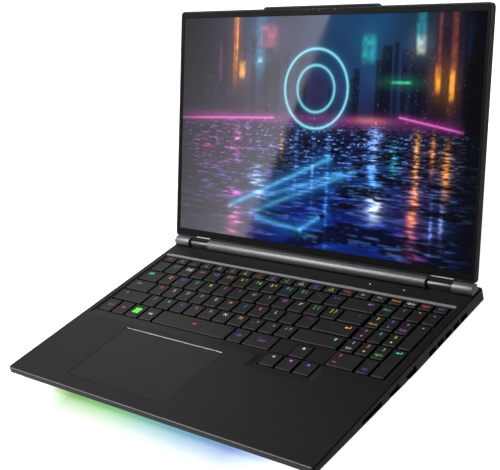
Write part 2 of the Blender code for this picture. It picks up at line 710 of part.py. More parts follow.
def keyboard():
    """Every key of the main block, the arrows and the number pad."""
    rows = [SHIFT_ROW_FRONT + i * KEY_PITCH for i in range(4)]
    function_pitch = (MAIN_WIDTH + KEY_GAP) / FUNCTION_KEYS
    function = row_of(KEYS_LEFT, [function_pitch - KEY_GAP] * FUNCTION_KEYS,
                      FUNCTION_ROW_FRONT, FUNCTION_ROW_DEPTH)
    function += [pad_key(c, FUNCTION_ROW_FRONT, FUNCTION_ROW_DEPTH) for c in range(PAD_COLUMNS)]
    joined_row("keys_function_row", function)

    numbers = row_of(KEYS_LEFT, units(*[1] * 13, 2), rows[3], KEY_DEPTH)
    joined_row("keys_number_row", numbers[:-1])
    key_group("key_backspace", numbers[-1:], [])
    joined_row("keys_upper_row", row_of(KEYS_LEFT, units(1.5, *[1] * 12, 1.5), rows[2], KEY_DEPTH))
    home = row_of(KEYS_LEFT, units(1.75, *[1] * 11, 2.25), rows[1], KEY_DEPTH)
    joined_row("keys_home_row", home[:-1])
    key_group("key_enter", home[-1:], [])
    lower = row_of(KEYS_LEFT, units(2.25, *[1] * 10, 2.75), rows[0], KEY_DEPTH)
    joined_row("keys_lower_row", lower[:-1])
    key_group("key_shift_right", lower[-1:], [])

    bottom = row_of(KEYS_LEFT, units(*BOTTOM_ROW_UNITS), BOTTOM_ROW_FRONT, BOTTOM_ROW_DEPTH)
    joined_row("keys_modifiers_left", bottom[:4])
    key_group("key_space", bottom[4:5], [])
    joined_row("keys_modifiers_right", bottom[5:])

    arrows = row_of(ARROWS_LEFT, units(1, 1, 1), ARROW_ROW_FRONT, ARROW_DEPTH)
    for name, key in zip(("left", "down", "right"), arrows):
        key_group("key_arrow_" + name, [key], [])
    up_front = BOTTOM_ROW_FRONT
    key_group("key_arrow_up", [(arrows[1][0], (up_front, up_front + ARROW_DEPTH))], [])
    number_pad(rows)


def number_pad(rows):
    """The number pad: a block of small keys, and three keys of double size."""
    block = [pad_key(c, front, KEY_DEPTH) for front in rows for c in range(3)]
    block.append(pad_key(3, rows[3], KEY_DEPTH))
    block.append(pad_key(2, BOTTOM_ROW_FRONT, BOTTOM_ROW_DEPTH))
    webs = []
    for front in rows:
        y = front + KEY_DEPTH / 2
        columns = 4 if front == rows[3] else 3
        right = PAD_LEFT + columns * PAD_PITCH - KEY_GAP - 2 * MM
        webs.append(((PAD_LEFT + 2 * MM, right), (y - WEB_WIDTH / 2, y + WEB_WIDTH / 2)))
    spine = PAD_LEFT + 2.5 * PAD_PITCH - KEY_GAP / 2
    webs.append(((spine - WEB_WIDTH / 2, spine + WEB_WIDTH / 2),
                 (BOTTOM_ROW_FRONT + 4 * MM, rows[3] + KEY_DEPTH - 4 * MM)))
    key_group("keys_number_pad", block, webs)
    key_group("key_pad_zero", [pad_key(0, BOTTOM_ROW_FRONT, BOTTOM_ROW_DEPTH, 2)], [])
    tall = rows[0] + KEY_DEPTH - BOTTOM_ROW_FRONT
    key_group("key_pad_enter", [pad_key(3, BOTTOM_ROW_FRONT, tall)], [])
    key_group("key_pad_plus", [pad_key(3, rows[1], KEY_PITCH + KEY_DEPTH)], [])


def touchpad():
    """The touch surface, hinged along its rear edge."""
    xs = (PAD_X[0] + PAD_CLEARANCE, PAD_X[1] - PAD_CLEARANCE)
    ys = (PAD_Y[0] + PAD_CLEARANCE, PAD_Y[1] - PAD_CLEARANCE)
    pad = upright("touchpad", "case", rounded(xs, ys, PAD_CORNER - PAD_CLEARANCE),
                  -PAD_SUNK - PAD_THICKNESS, -PAD_SUNK)
    recentre(pad, 0.0, ys[1], -PAD_SUNK - PAD_THICKNESS)
    return pad


def power_button():
    """The long power button behind the bright strip."""
    button = upright("power_button", "case", power_outline(0.0), -0.05 * MM - POWER_THICKNESS, -0.05 * MM)
    recentre(button, POWER_X, STRIP_FRONT + STRIP_DEPTH + POWER_FROM_STRIP, -0.05 * MM)
    return button


# ---------------------------------------------------------------- inside the base

def fan_housing(name, x):
    """A blower's flat box, open above and below for air and towards the fins."""
    half = FAN_SIZE / 2
    top = PLATE_BOTTOM - 0.7 * MM
    bottom = top - FAN_HEIGHT
    ys = (FAN_Y - half, FAN_Y + half)
    housing = upright(name, "plastic", rounded((x - half, x + half), ys, 8 * MM), bottom, top)
    side = 1 if x > 0 else -1
    room = half - FAN_WALL
    inner = rounded((x - room, x + room), (FAN_Y - room, FAN_Y + room), 7 * MM)
    combine(housing, upright("tool", "plastic", inner, bottom + FAN_WALL, top - FAN_WALL))
    inlet = circle((x, FAN_Y), FAN_INLET_RADIUS, 24)
    combine(housing, upright("tool", "plastic", inlet, bottom - 1 * MM, top + 1 * MM))
    outlet_x = sorted((x + side * (half - 3 * MM), x + side * (half + 1 * MM)))
    outlet_y = (ys[0] + 9 * MM, ys[1] - 9 * MM)
    combine(housing, box("tool", "plastic", outlet_x, outlet_y, (bottom + FAN_WALL, top - FAN_WALL)))
    return housing


def fan_rotor(name, x):
    """A blower wheel: a hub with swept blades."""
    outline = []
    sweep = math.radians(14)
    for blade in range(ROTOR_BLADES):
        start = 2 * math.pi * blade / ROTOR_BLADES
        width = 2 * math.pi / ROTOR_BLADES
        for radius, angle in ((ROTOR_HUB_RADIUS, 0.0), (ROTOR_RADIUS, sweep),
                              (ROTOR_RADIUS, sweep + width * 0.14), (ROTOR_HUB_RADIUS, width * 0.3)):
            outline.append((x + radius * math.cos(start + angle), FAN_Y + radius * math.sin(start + angle)))
    middle = PLATE_BOTTOM - 0.7 * MM - FAN_HEIGHT / 2
    rotor = upright(name, "plastic", outline, middle - ROTOR_HEIGHT / 2, middle + ROTOR_HEIGHT / 2)
    recentre(rotor, x, FAN_Y, middle)
    return rotor


def fin_stack(name, side):
    """Cooling fins between a fan and the side vents, standing on one root plate."""
    outer = HALF_WIDTH - CASE_WALL - 0.7 * MM
    top = PLATE_BOTTOM - 0.7 * MM
    bottom = -SKIRT_REAR + 0.4 * MM
    start = FAN_Y - FIN_LENGTH / 2
    pitch = (FIN_LENGTH - FIN_THICKNESS) / (FIN_COUNT - 1)
    profile = [(start, top), (start + FIN_LENGTH, top)]
    for i in reversed(range(FIN_COUNT)):
        y = start + i * pitch
        profile += [(y + FIN_THICKNESS, bottom), (y, bottom)]
        if i:
            profile += [(y, top - FIN_ROOT), (y - pitch + FIN_THICKNESS, top - FIN_ROOT)]
    xs = sorted((side * (outer - FIN_DEPTH), side * outer))
    return across(name, "copper", profile, *xs)


def electronics():
    """Board, memory, drive, battery, heat pipes and speakers."""
    board = (BOARD_TOP - BOARD_THICKNESS, BOARD_TOP)
    box("motherboard", "board", (-BOARD_HALF_WIDTH, BOARD_HALF_WIDTH), BOARD_Y, board)
    seat = BOARD_TOP + GAP
    front = BOARD_Y[0] + 4 * MM
    left = -BOARD_HALF_WIDTH + 6 * MM
    box("memory_module", "board", (left, left + MEMORY[0]), (front, front + MEMORY[1]),
        (seat, seat + MEMORY[2]))
    right = BOARD_HALF_WIDTH - 6 * MM
    box("storage_drive", "board", (right - DRIVE[0], right), (front, front + DRIVE[1]),
        (seat, seat + DRIVE[2]))
    pipes = box("heat_pipes", "copper", (-60 * MM, 60 * MM), (FAN_Y - 22 * MM, FAN_Y + 18 * MM),
                (seat, seat + PIPE_THICKNESS))
    run_y = (FAN_Y + FAN_SIZE / 2 + 2 * MM, FAN_Y + FAN_SIZE / 2 + 10 * MM)
    run_x = HALF_WIDTH - 12 * MM
    combine(pipes, box("tool", "copper", (-run_x, run_x), run_y, (seat, seat + PIPE_THICKNESS)), "UNION")
    for side in (1, -1):
        xs = sorted((side * 20 * MM, side * 34 * MM))
        link = box("tool", "copper", xs, (FAN_Y + 10 * MM, run_y[0] + 4 * MM),
                   (seat + 0.1 * MM, seat + PIPE_THICKNESS - 0.1 * MM))
        combine(pipes, link, "UNION")
    floor = CAVITY_FLOOR + GAP
    box("battery_pack", "plastic", (-BATTERY[0] / 2, BATTERY[0] / 2),
        (BATTERY_FRONT, BATTERY_FRONT + BATTERY[1]), (floor, floor + BATTERY[2]))
    for name, side in (("speaker_left", -1), ("speaker_right", 1)):
        outer = HALF_WIDTH - SPEAKER_INSET
        xs = sorted((side * (outer - SPEAKER[0]), side * outer))
        rest = -SKIRT_REAR
        box(name, "plastic", xs, (SPEAKER_FRONT, SPEAKER_FRONT + SPEAKER[1]), (rest, rest + SPEAKER[2]))


def insides():
    """Everything that the two shells hold."""
    electronics()
    for side, word in ((-1, "left"), (1, "right")):
        fan_housing("fan_housing_" + word, side * FAN_X)
        fan_rotor("fan_rotor_" + word, side * FAN_X)
        fin_stack("fin_stack_" + word, side)


# ---------------------------------------------------------------- hinge

def barrel_profile(sides, neck):
    """Section of the hinge barrel: a circle, with a neck that reaches to the lid's lower edge."""
    if not neck:
        return circle((0.0, 0.0), BARREL_RADIUS, sides)
    reach = LID_HEEL - GAP
    high = LID_FACE - GAP
    low = LID_FACE - LID_THICKNESS + GAP
    start = math.asin(high / BARREL_RADIUS)
    end = 2 * math.pi + math.asin(low / BARREL_RADIUS)
    points = []
    for i in range(sides + 1):
        angle = start + (end - start) * i / sides
        points.append((BARREL_RADIUS * math.cos(angle), BARREL_RADIUS * math.sin(angle)))
    return points + [(reach, low), (reach, high)]


def hinge_layout():
    """Ends of the left knuckle and of the barrel, as x distances from the middle."""
    outer = HALF_WIDTH - KNUCKLE_INSET
    return HALF_WIDTH - BARREL_END, outer, outer - KNUCKLE_LENGTH


def pin_tool(x, clearance, length):
    """A round tool along the hinge axis, from x outwards or inwards by length."""
    return across("tool", "plastic", circle((0.0, 0.0), PIN_RADIUS + clearance, 16), *sorted((x, x + length)))


def hinge_in_lid(parent):
    """Barrel pieces and pins, which turn with the lid."""
    end, outer, inner = hinge_layout()
    slack = 0.4 * MM
    centre = across("hinge_barrel_centre", "barrel", barrel_profile(BARREL_SIDES, True),
                    -inner + slack, inner - slack)
    pieces = [centre]
    middle = (outer + inner) / 2
    for word, side in (("left", -1), ("right", 1)):
        xs = sorted((side * end, side * (outer + slack)))
        barrel = across("hinge_barrel_" + word, "barrel", barrel_profile(BARREL_SIDES, True), *xs)
        pin_inner = side * (inner + 3 * MM)
        pin_outer = pin_inner + side * PIN_LENGTH
        combine(barrel, pin_tool(side * middle, GAP, pin_outer + side * GAP - side * middle))
        pin = across("hinge_pin_" + word, "steel", circle((0.0, 0.0), PIN_RADIUS, 16),
                     *sorted((pin_inner, pin_outer)))
        smooth(pin)
        pieces += [barrel, pin]
    for piece in pieces:
        smooth(piece)
        piece.parent = parent


def hinge_knuckles():
    """The two fixed knuckles that stand in the trough and hold the pins."""
    _, outer, inner = hinge_layout()
    for word, side in (("left", -1), ("right", 1)):
        foot = -TROUGH_FLOOR + GAP - AXIS_HEIGHT
        radius = PIN_RADIUS + KNUCKLE_WALL
        arc = [(radius * math.cos(math.pi * i / 12), radius * math.sin(math.pi * i / 12)) for i in range(13)]
        profile = arc + [(-radius, foot), (radius, foot)]
        knuckle = across("hinge_knuckle_" + word, "case", profile, *sorted((side * inner, side * outer)))
        hole_end = side * (inner + 3 * MM - GAP)
        combine(knuckle, pin_tool(hole_end, GAP, side * (outer + 1 * MM) - hole_end))
        smooth(knuckle)
        knuckle.location = (0, AXIS_Y, AXIS_HEIGHT)


# ---------------------------------------------------------------- lid

def lid_outline(inset):
    """The lid's outline, drawn in by an inset, with the low bump over the camera."""
    x = LID_HALF - inset
    points = rounded((-x, x), (LID_HEEL + inset, LID_TOP - inset), max(LID_CORNER - inset, 1.0 * MM))
    right = CAMERA_BUMP_HALF - inset
    slope = CAMERA_BUMP_SLOPE
    top = LID_TOP - inset
    bump = [(right + slope, top), (right, top + CAMERA_BUMP), (-right, top + CAMERA_BUMP),
            (-right - slope, top)]
    half = len(points) // 2
    return points[:half] + bump + points[half:]


def lid_cover():
    """The lid's metal back and rim."""
    back = LID_FACE - LID_THICKNESS
    cover = loft("lid_cover", "case", [[(x, y, back) for x, y in lid_outline(EDGE_CHAMFER)],
                                       [(x, y, back + EDGE_CHAMFER) for x, y in lid_outline(0.0)],
                                       [(x, y, LID_FACE) for x, y in lid_outline(0.0)]])
    combine(cover, upright("tool", "plastic", lid_outline(LID_RIM), back + LID_BACK, LID_FACE + 1 * MM))
    return cover


def display():
    """Bezel, screen and camera board."""
    face = LID_FACE - 0.05 * MM
    bezel = upright("display_bezel", "bezel", lid_outline(LID_RIM + GAP), face - BEZEL_THICKNESS, face)
    half = SCREEN_WIDTH / 2
    window = [(-half, CHIN), (half, CHIN), (half, CHIN + SCREEN_HEIGHT), (-half, CHIN + SCREEN_HEIGHT)]
    combine(bezel, upright("tool", "plastic", window, face - 10 * MM, face + 10 * MM))
    surface = LID_FACE - SCREEN_SET_BACK
    seat = LID_FACE - LID_THICKNESS + LID_BACK + PANEL_SEAT
    panel = box("display_panel", "glass", (-half + GAP, half - GAP),
                (CHIN + GAP, CHIN + SCREEN_HEIGHT - GAP), (seat, surface))
    top = LID_TOP - LID_RIM - GAP
    camera = box("camera_module", "board", (-CAMERA_BOARD[0] / 2, CAMERA_BOARD[0] / 2),
                 (top - CAMERA_BOARD[1], top), (seat, seat + CAMERA_BOARD[2]))
    return [bezel, panel, camera]


def lid():
    """The whole lid on its hinge axis, at the open angle."""
    axis = pivot("lid_axis", AXIS_Y, AXIS_HEIGHT, math.pi - LID_OPEN)
    for piece in [lid_cover()] + display():
        piece.parent = axis
    hinge_in_lid(axis)


# ---------------------------------------------------------------- assembly

def place():
    """Stand the laptop on its feet, with the origin under the middle of its box."""
    shift = Vector((0.0, -ORIGIN_Y, -ORIGIN_Z))
    for thing in bpy.data.objects:
        if thing.parent is None:
            thing.location += shift


def clear():
    """Remove whatever the scene holds."""
    for thing in list(bpy.data.objects):
        bpy.data.objects.remove(thing)


clear()
top_case()
bottom_cover()
accent_strip()
light_bar()
feet()
ports()
keyboard_plate()
keyboard()
touchpad()
power_button()
insides()
hinge_knuckles()
lid()
place()
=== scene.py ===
"""A 16-inch gaming laptop computer, open: its looks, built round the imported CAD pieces.

Lengths are metres. Two working frames are used before a point is placed in the row's own frame:
the deck frame (x right, y back from the deck's front edge, z up from the deck) and the lid frame
(x right, v from the hinge axis to the lid's top edge, f out of the lid's screen side).
"""

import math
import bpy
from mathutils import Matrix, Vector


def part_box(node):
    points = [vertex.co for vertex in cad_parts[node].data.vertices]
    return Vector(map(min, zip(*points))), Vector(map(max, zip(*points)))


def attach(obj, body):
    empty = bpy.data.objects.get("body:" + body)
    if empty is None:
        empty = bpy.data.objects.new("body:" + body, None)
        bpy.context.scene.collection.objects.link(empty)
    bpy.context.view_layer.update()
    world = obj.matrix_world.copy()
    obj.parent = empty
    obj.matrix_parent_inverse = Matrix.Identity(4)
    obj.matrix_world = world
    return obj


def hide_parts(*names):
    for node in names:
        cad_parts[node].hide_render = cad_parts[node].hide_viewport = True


bl_info = {
    "name": "Laptop Computer",
    "version": (1, 0, 0),
    "blender": (4, 5, 0),
    "location": "View3D > Sidebar > Laptop",
    "description": "Gives the CAD laptop its keycaps, screen, trims, finishes, lights and floor",
    "category": "Object",
}

import bpy
import numpy as np
from bpy.props import FloatProperty, FloatVectorProperty, IntProperty, PointerProperty
from mathutils import Matrix, Vector

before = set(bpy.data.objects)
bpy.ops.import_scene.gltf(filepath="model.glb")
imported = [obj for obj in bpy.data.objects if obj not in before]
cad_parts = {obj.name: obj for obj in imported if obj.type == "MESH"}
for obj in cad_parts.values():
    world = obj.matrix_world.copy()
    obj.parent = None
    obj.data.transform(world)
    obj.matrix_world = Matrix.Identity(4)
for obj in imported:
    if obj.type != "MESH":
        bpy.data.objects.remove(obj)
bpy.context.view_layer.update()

MM = 0.001
NOSE = 1.0 * MM                      # the base's front edge, in front of the deck's
LID_TILT = math.radians(66.0)        # lid's slope over the table when open
KEY_GAP = 2.05 * MM
BARREL_RADIUS = 5.2 * MM
BEZEL_FACE = 1.9 * MM                # bezel surface over the hinge axis, in the lid frame
SCREEN_FACE = 1.55 * MM
SCREEN_LEFT, SCREEN_RIGHT = -172.05 * MM, 172.05 * MM
SCREEN_LOW, SCREEN_HIGH = 14.6 * MM, 229.4 * MM
SHADOW = (0.0015, 0.0015, 0.0015)    # colour of holes and seams
ASPECT = (SCREEN_RIGHT - SCREEN_LEFT) / (SCREEN_HIGH - SCREEN_LOW)


def middle(node):
    """The middle of a CAD node's box."""
    low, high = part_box(node)
    return (low + high) / 2


DECK_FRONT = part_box("top_case")[0].y + NOSE
DECK_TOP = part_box("top_case")[1].z
AXIS = middle("hinge_pin_left")


# ---------------------------------------------------------------- points and faces

def on_deck(points):
    """Deck frame to row frame: y and z are moved by the deck's front edge and height."""
    return np.asarray(points, float) + (0.0, DECK_FRONT, DECK_TOP)


def on_lid(points):
    """Lid frame to row frame: v and f are turned by the lid's tilt about the hinge axis."""
    x, v, f = np.moveaxis(np.asarray(points, float), -1, 0)
    c, s = math.cos(LID_TILT), math.sin(LID_TILT)
    return np.stack([x, AXIS.y + v * c - f * s, AXIS.z + v * s + f * c], axis=-1)


def grid_faces(rows, columns, closed=False):
    """Quads between neighbouring rows and columns of a grid; closed joins the last column to the first."""
    row = np.arange(rows - 1)[:, None]
    column = np.arange(columns if closed else columns - 1)[None, :]
    after = (column + 1) % columns
    a, b = row * columns + column, row * columns + after
    return np.stack([a, b, b + columns, a + columns], axis=-1).reshape(-1, 4)


def rounded_outline(x0, x1, y0, y1, radius, steps=3):
    """A rounded rectangle, anticlockwise: corner centre plus radius times (cos, sin) of its angles."""
    angles = np.radians(np.array([-90, 0, 90, 180])[:, None] + np.linspace(0, 90, steps + 1)[None, :])
    cx = np.array([x1 - radius, x1 - radius, x0 + radius, x0 + radius])[:, None]
    cy = np.array([y0 + radius, y1 - radius, y1 - radius, y0 + radius])[:, None]
    return np.stack([cx + radius * np.cos(angles), cy + radius * np.sin(angles)], axis=-1).reshape(-1, 2)


def ring(radius, sides, centre=(0.0, 0.0)):
    """A circle, anticlockwise: centre plus radius times (cos, sin) of evenly spaced angles."""
    angles = np.arange(sides) * 2 * math.pi / sides
    return np.stack([centre[0] + radius * np.cos(angles), centre[1] + radius * np.sin(angles)], axis=-1)


def bead(outline, half_width, half_height, steps):
    """Closed loops of a bead round an outline: at an angle t each point moves out from the middle by
    half_width times cos t, and up by half_height times sin t."""
    inward = outline.mean(axis=0) - outline
    inward /= np.linalg.norm(inward, axis=1)[:, None]
    turns = np.linspace(0, 2 * math.pi, steps + 1)[:-1]
    loops = [np.column_stack([outline - inward * half_width * math.cos(turn),
                              np.full(len(outline), half_height * math.sin(turn))]) for turn in turns]
    return np.stack(loops + loops[:1])


class Skin:
    """Points, faces and point colours gathered for one piece."""

    def __init__(self):
        self.points, self.faces, self.tints, self.count = [], [], [], 0

    def add(self, points, faces, tint=(1.0, 1.0, 1.0)):
        """Adds points, and faces that count from this batch's first point, with one colour or one each."""
        points = np.asarray(points, float).reshape(-1, 3)
        self.points.append(points)
        self.faces += [tuple(int(i) + self.count for i in face) for face in faces]
        self.tints.append(np.broadcast_to(np.asarray(tint, float).reshape(-1, 3), (len(points), 3)))
        self.count += len(points)

    def add_loops(self, loops, tint=(1.0, 1.0, 1.0)):
        """A closed body through stacked loops: walls between them, and a flat face on the first and the last.
        Loops run anticlockwise seen from the side the stack grows to."""
        loops = np.asarray(loops, float)
        rows, columns = loops.shape[:2]
        faces = grid_faces(rows, columns, closed=True).tolist()
        faces.append(list(range(columns - 1, -1, -1)))
        faces.append(list(range((rows - 1) * columns, rows * columns)))
        self.add(loops, faces, tint)

    def piece(self, name, body, finish, slot, replaces=(), sharp=35.0):
        """Makes the object and rides it on its body. Its slot, which would say what it stands for, is not used.
        """
        mesh = bpy.data.meshes.new(name)
        mesh.from_pydata(np.concatenate(self.points).tolist(), [], self.faces)
        colours = np.concatenate(self.tints)
        layer = mesh.color_attributes.new(name="tint", type="FLOAT_COLOR", domain="POINT")
        layer.data.foreach_set("color", np.hstack([colours, np.ones((len(colours), 1))]).ravel())
        mesh.materials.append(finish)
        mesh.shade_smooth()
        mesh.set_sharp_from_angle(angle=math.radians(sharp))
        mesh.update()
        made = bpy.data.objects.new(name, mesh)
        bpy.context.scene.collection.objects.link(made)
        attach(made, body)
        if replaces:
            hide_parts(*replaces)
        return made


def levels(outline, heights):
    """Loops in x, y at the given heights; outline(inset) gives the x, y points drawn in by an inset."""
    loops = []
    for height, inset in heights:
        flat = outline(inset)
        loops.append(np.column_stack([flat, np.full(len(flat), height)]))
    return np.stack(loops)


# ---------------------------------------------------------------- finishes

class Finish:
    """A node material being put together round its Principled shader."""

    def __init__(self, name, colour=(0.5, 0.5, 0.5), roughness=0.5, metallic=0.0, **sockets):
        self.material = bpy.data.materials.get(name) or bpy.data.materials.new(name)
        self.material.use_nodes = True
        self.tree = self.material.node_tree
        self.shader = self.tree.nodes["Principled BSDF"]
        self.shader.inputs["Base Color"].default_value = (*colour, 1.0)
        self.shader.inputs["Roughness"].default_value = roughness
        self.shader.inputs["Metallic"].default_value = metallic
        for socket, value in sockets.items():
            self.shader.inputs[socket.replace("_", " ")].default_value = value

    def node(self, kind, **inputs):
        """Adds a node and sets its inputs, written with _ for spaces."""
        made = self.tree.nodes.new("ShaderNode" + kind)
        for name, value in inputs.items():
            made.inputs[name.replace("_", " ")].default_value = value
        return made

    def link(self, source, target):
        self.tree.links.new(source, target)

    def coordinates(self, stretch=(1.0, 1.0, 1.0)):
        """The piece's own coordinates, stretched."""
        place = self.node("TexCoord")
        mapping = self.node("Mapping", Scale=stretch)
        self.link(place.outputs["Object"], mapping.inputs["Vector"])
        return mapping.outputs["Vector"]

    def noise(self, scale, stretch=(1.0, 1.0, 1.0), detail=2.0):
        """Cloudy noise from 0 to 1."""
        made = self.node("TexNoise", Scale=scale, Detail=detail)
        self.link(self.coordinates(stretch), made.inputs["Vector"])
        return made.outputs["Fac"]

    def spread(self, factor, low, high, start=0.3, end=0.7):
        """A factor between start and end, spread out to low and high."""
        made = self.node("MapRange", From_Min=start, From_Max=end, To_Min=low, To_Max=high)
        self.link(factor, made.inputs["Value"])
        return made.outputs["Result"]

    def tones(self, factor, dark, light, start=0.3, end=0.7):
        """Base colour between two tones."""
        ramp = self.node("ValToRGB")
        ramp.color_ramp.elements[0].position, ramp.color_ramp.elements[0].color = start, (*dark, 1.0)
        ramp.color_ramp.elements[1].position, ramp.color_ramp.elements[1].color = end, (*light, 1.0)
        self.link(factor, ramp.inputs["Fac"])
        self.link(ramp.outputs["Color"], self.shader.inputs["Base Color"])

    def roughness(self, factor, low, high):
        self.link(self.spread(factor, low, high), self.shader.inputs["Roughness"])

    def relief(self, height, distance, strength=1.0):
        """Bump of the given depth."""
        bump = self.node("Bump", Strength=strength, Distance=distance)
        self.link(height, bump.inputs["Height"])
        self.link(bump.outputs["Normal"], self.shader.inputs["Normal"])


def shade(colour, factor):
    return tuple(min(channel * factor, 1.0) for channel in colour)


def moulded(name, colour, roughness=0.5, grain=3200.0, depth=0.02 * MM, variation=0.12, gloss=0.05,
            **sockets):
    """Moulded plastic or coated metal: fine grain in relief, with slow changes of tone and gloss."""
    made = Finish(name, colour, roughness, **sockets)
    slow = made.noise(28.0, detail=3.0)
    made.tones(slow, shade(colour, 1 - variation), shade(colour, 1 + variation))
    made.roughness(made.noise(55.0, detail=4.0), roughness - gloss, roughness + gloss)
    made.relief(made.noise(grain, detail=1.0), depth, 0.5)
    return made.material


def brushed(name, colour, roughness=0.3, along=(1.0, 60.0, 60.0), scale=60.0, depth=0.01 * MM, **sockets):
    """Metal brushed along its length: noise stretched into fine lines, in tone, gloss and relief."""
    made = Finish(name, colour, roughness, metallic=1.0, **sockets)
    lines = made.noise(scale, stretch=along, detail=4.0)
    made.tones(lines, shade(colour, 0.82), shade(colour, 1.12))
    made.roughness(lines, roughness - 0.08, roughness + 0.1)
    made.relief(lines, depth, 0.4)
    return made.material


def glowing(name, strength):
    """A light source that takes its colour from the piece's own colour layer."""
    made = Finish(name, (0.02, 0.02, 0.02), 0.6, Emission_Strength=strength)
    colours = made.node("Attribute")
    colours.attribute_name = "tint"
    made.link(colours.outputs["Color"], made.shader.inputs["Emission Color"])
    made.link(colours.outputs["Color"], made.shader.inputs["Base Color"])
    return made.material


def screen_glass(name, strength):
    """Black glass over a lit picture."""
    made = Finish(name, (0.004, 0.004, 0.006), 0.06, Emission_Strength=strength, Specular_IOR_Level=0.5)
    colours = made.node("Attribute")
    colours.attribute_name = "tint"
    made.link(colours.outputs["Color"], made.shader.inputs["Emission Color"])
    made.roughness(made.noise(14.0, detail=5.0), 0.03, 0.08)
    return made.material


def light_diffuser(name, strength, half_length):
    """The frosted light bar: its colour runs from green through cyan to blue along x, dark at the ends."""
    made = Finish(name, (0.6, 0.6, 0.6), 0.45, Emission_Strength=strength)
    split = made.node("SeparateXYZ")
    made.link(made.coordinates(), split.inputs["Vector"])
    along = made.spread(split.outputs["X"], 0.0, 1.0, -half_length, half_length)
    ramp = made.node("ValToRGB")
    stops = ((0.0, (0.0, 0.0, 0.0)), (0.12, (0.05, 0.22, 0.01)), (0.22, (0.08, 1.0, 0.03)),
             (0.4, (0.04, 1.0, 0.12)),
             (0.52, (0.02, 0.85, 0.5)), (0.66, (0.02, 0.55, 0.9)), (0.8, (0.03, 0.2, 1.0)),
             (0.9, (0.1, 0.1, 0.6)), (1.0, (0.0, 0.0, 0.0)))
    for position, colour in stops[2:]:
        ramp.color_ramp.elements.new(position)
    for element, (position, colour) in zip(ramp.color_ramp.elements, stops):
        element.position, element.color = position, (*colour, 1.0)
    made.link(along, ramp.inputs["Fac"])
    made.link(ramp.outputs["Color"], made.shader.inputs["Emission Color"])
    made.relief(made.noise(900.0), 0.02 * MM, 0.4)
    return made.material


def circuit(name, colour):
    """Coated board: fine copper tracks under green lacquer, with solder pads."""
    made = Finish(name, colour, 0.35)
    tracks = made.node("TexBrick", Scale=260.0, Mortar_Size=0.06, Row_Height=0.3, Brick_Width=1.4)
    tracks.inputs["Color1"].default_value = (*colour, 1.0)
    tracks.inputs["Color2"].default_value = (*shade(colour, 0.7), 1.0)
    tracks.inputs["Mortar"].default_value = (*shade(colour, 2.4), 1.0)
    made.link(made.coordinates(), tracks.inputs["Vector"])
    made.link(tracks.outputs["Color"], made.shader.inputs["Base Color"])
    made.relief(tracks.outputs["Fac"], 0.03 * MM, 0.6)
    return made.material


# ---------------------------------------------------------------- settings

class LaptopFinishSettings(bpy.types.PropertyGroup):
    """Colours of the laptop's shells and trims."""
    case_colour: FloatVectorProperty(name="Case colour", description="Colour of the deck, lid and walls",
                                     subtype="COLOR", size=3, min=0, max=1, default=(0.009, 0.009, 0.0093))
    case_roughness: FloatProperty(name="Case roughness", description="How matt the case is",
                                  subtype="FACTOR", min=0, max=1, default=0.42)
    pad_colour: FloatVectorProperty(name="Touchpad colour", description="Colour of the touch surface",
                                    subtype="COLOR", size=3, min=0, max=1, default=(0.011, 0.011, 0.0113))
    trim_colour: FloatVectorProperty(name="Trim colour", description="Colour of the bright strips",
                                     subtype="COLOR", size=3, min=0, max=1, default=(0.42, 0.42, 0.425))
    barrel_colour: FloatVectorProperty(name="Hinge colour", description="Colour of the hinge barrel",
                                       subtype="COLOR", size=3, min=0, max=1, default=(0.2, 0.2, 0.204))


class LaptopKeySettings(bpy.types.PropertyGroup):
    """Shape of the keycaps and look of their legends."""
    key_colour: FloatVectorProperty(name="Key colour", description="Colour of the keycaps",
                                    subtype="COLOR", size=3, min=0, max=1, default=(0.009, 0.009, 0.0092))
    corner: FloatProperty(name="Corner radius", description="Radius of a keycap's corners in plan",
                          subtype="DISTANCE", unit="LENGTH", min=0.0002, max=0.003, default=0.9 * MM)
    dish: FloatProperty(name="Dish depth", description="How far a keycap's middle lies under its rim",
                        subtype="DISTANCE", unit="LENGTH", min=0, max=0.0006, default=0.12 * MM)
    letter_height: FloatProperty(name="Letter height", description="Height of a main legend's capitals",
                                 subtype="DISTANCE", unit="LENGTH", min=0.001, max=0.006, default=4.2 * MM)
    glow: FloatProperty(name="Legend brightness", description="Strength of the key lighting",
                        min=0, max=20, default=0.85)


class LaptopDisplaySettings(bpy.types.PropertyGroup):
    """The picture on the screen."""
    brightness: FloatProperty(name="Brightness", description="Strength of the screen's light",
                              min=0, max=10, default=0.9)
    step: FloatProperty(name="Picture step", description="Distance between the picture's coloured points",
                        subtype="DISTANCE", unit="LENGTH", min=0.0008, max=0.01, default=0.92 * MM)
    seed: IntProperty(name="Seed", description="Chooses the picture's towers and windows", min=0, default=11)


class LaptopStageSettings(bpy.types.PropertyGroup):
    """Floor, lights and the glow under the base."""
    floor_colour: FloatVectorProperty(name="Floor colour", description="Colour of the floor",
                                      subtype="COLOR", size=3, min=0, max=1, default=(0.86, 0.86, 0.86))
    sky_light: FloatProperty(name="Surrounding light", description="Strength of the light from all round",
                             min=0, max=5, default=0.3)
    soft_light: FloatProperty(name="Soft light", description="Power of the overhead light",
                              unit="POWER", min=0, max=500, default=30.0)
    under_glow: FloatProperty(name="Underglow", description="Strength of the light bar under the front edge",
                              min=0, max=200, default=1.2)


SETTINGS = (("laptop_finish", LaptopFinishSettings), ("laptop_keys", LaptopKeySettings),
            ("laptop_display", LaptopDisplaySettings), ("laptop_stage", LaptopStageSettings))


# ---------------------------------------------------------------- CAD pieces' finishes

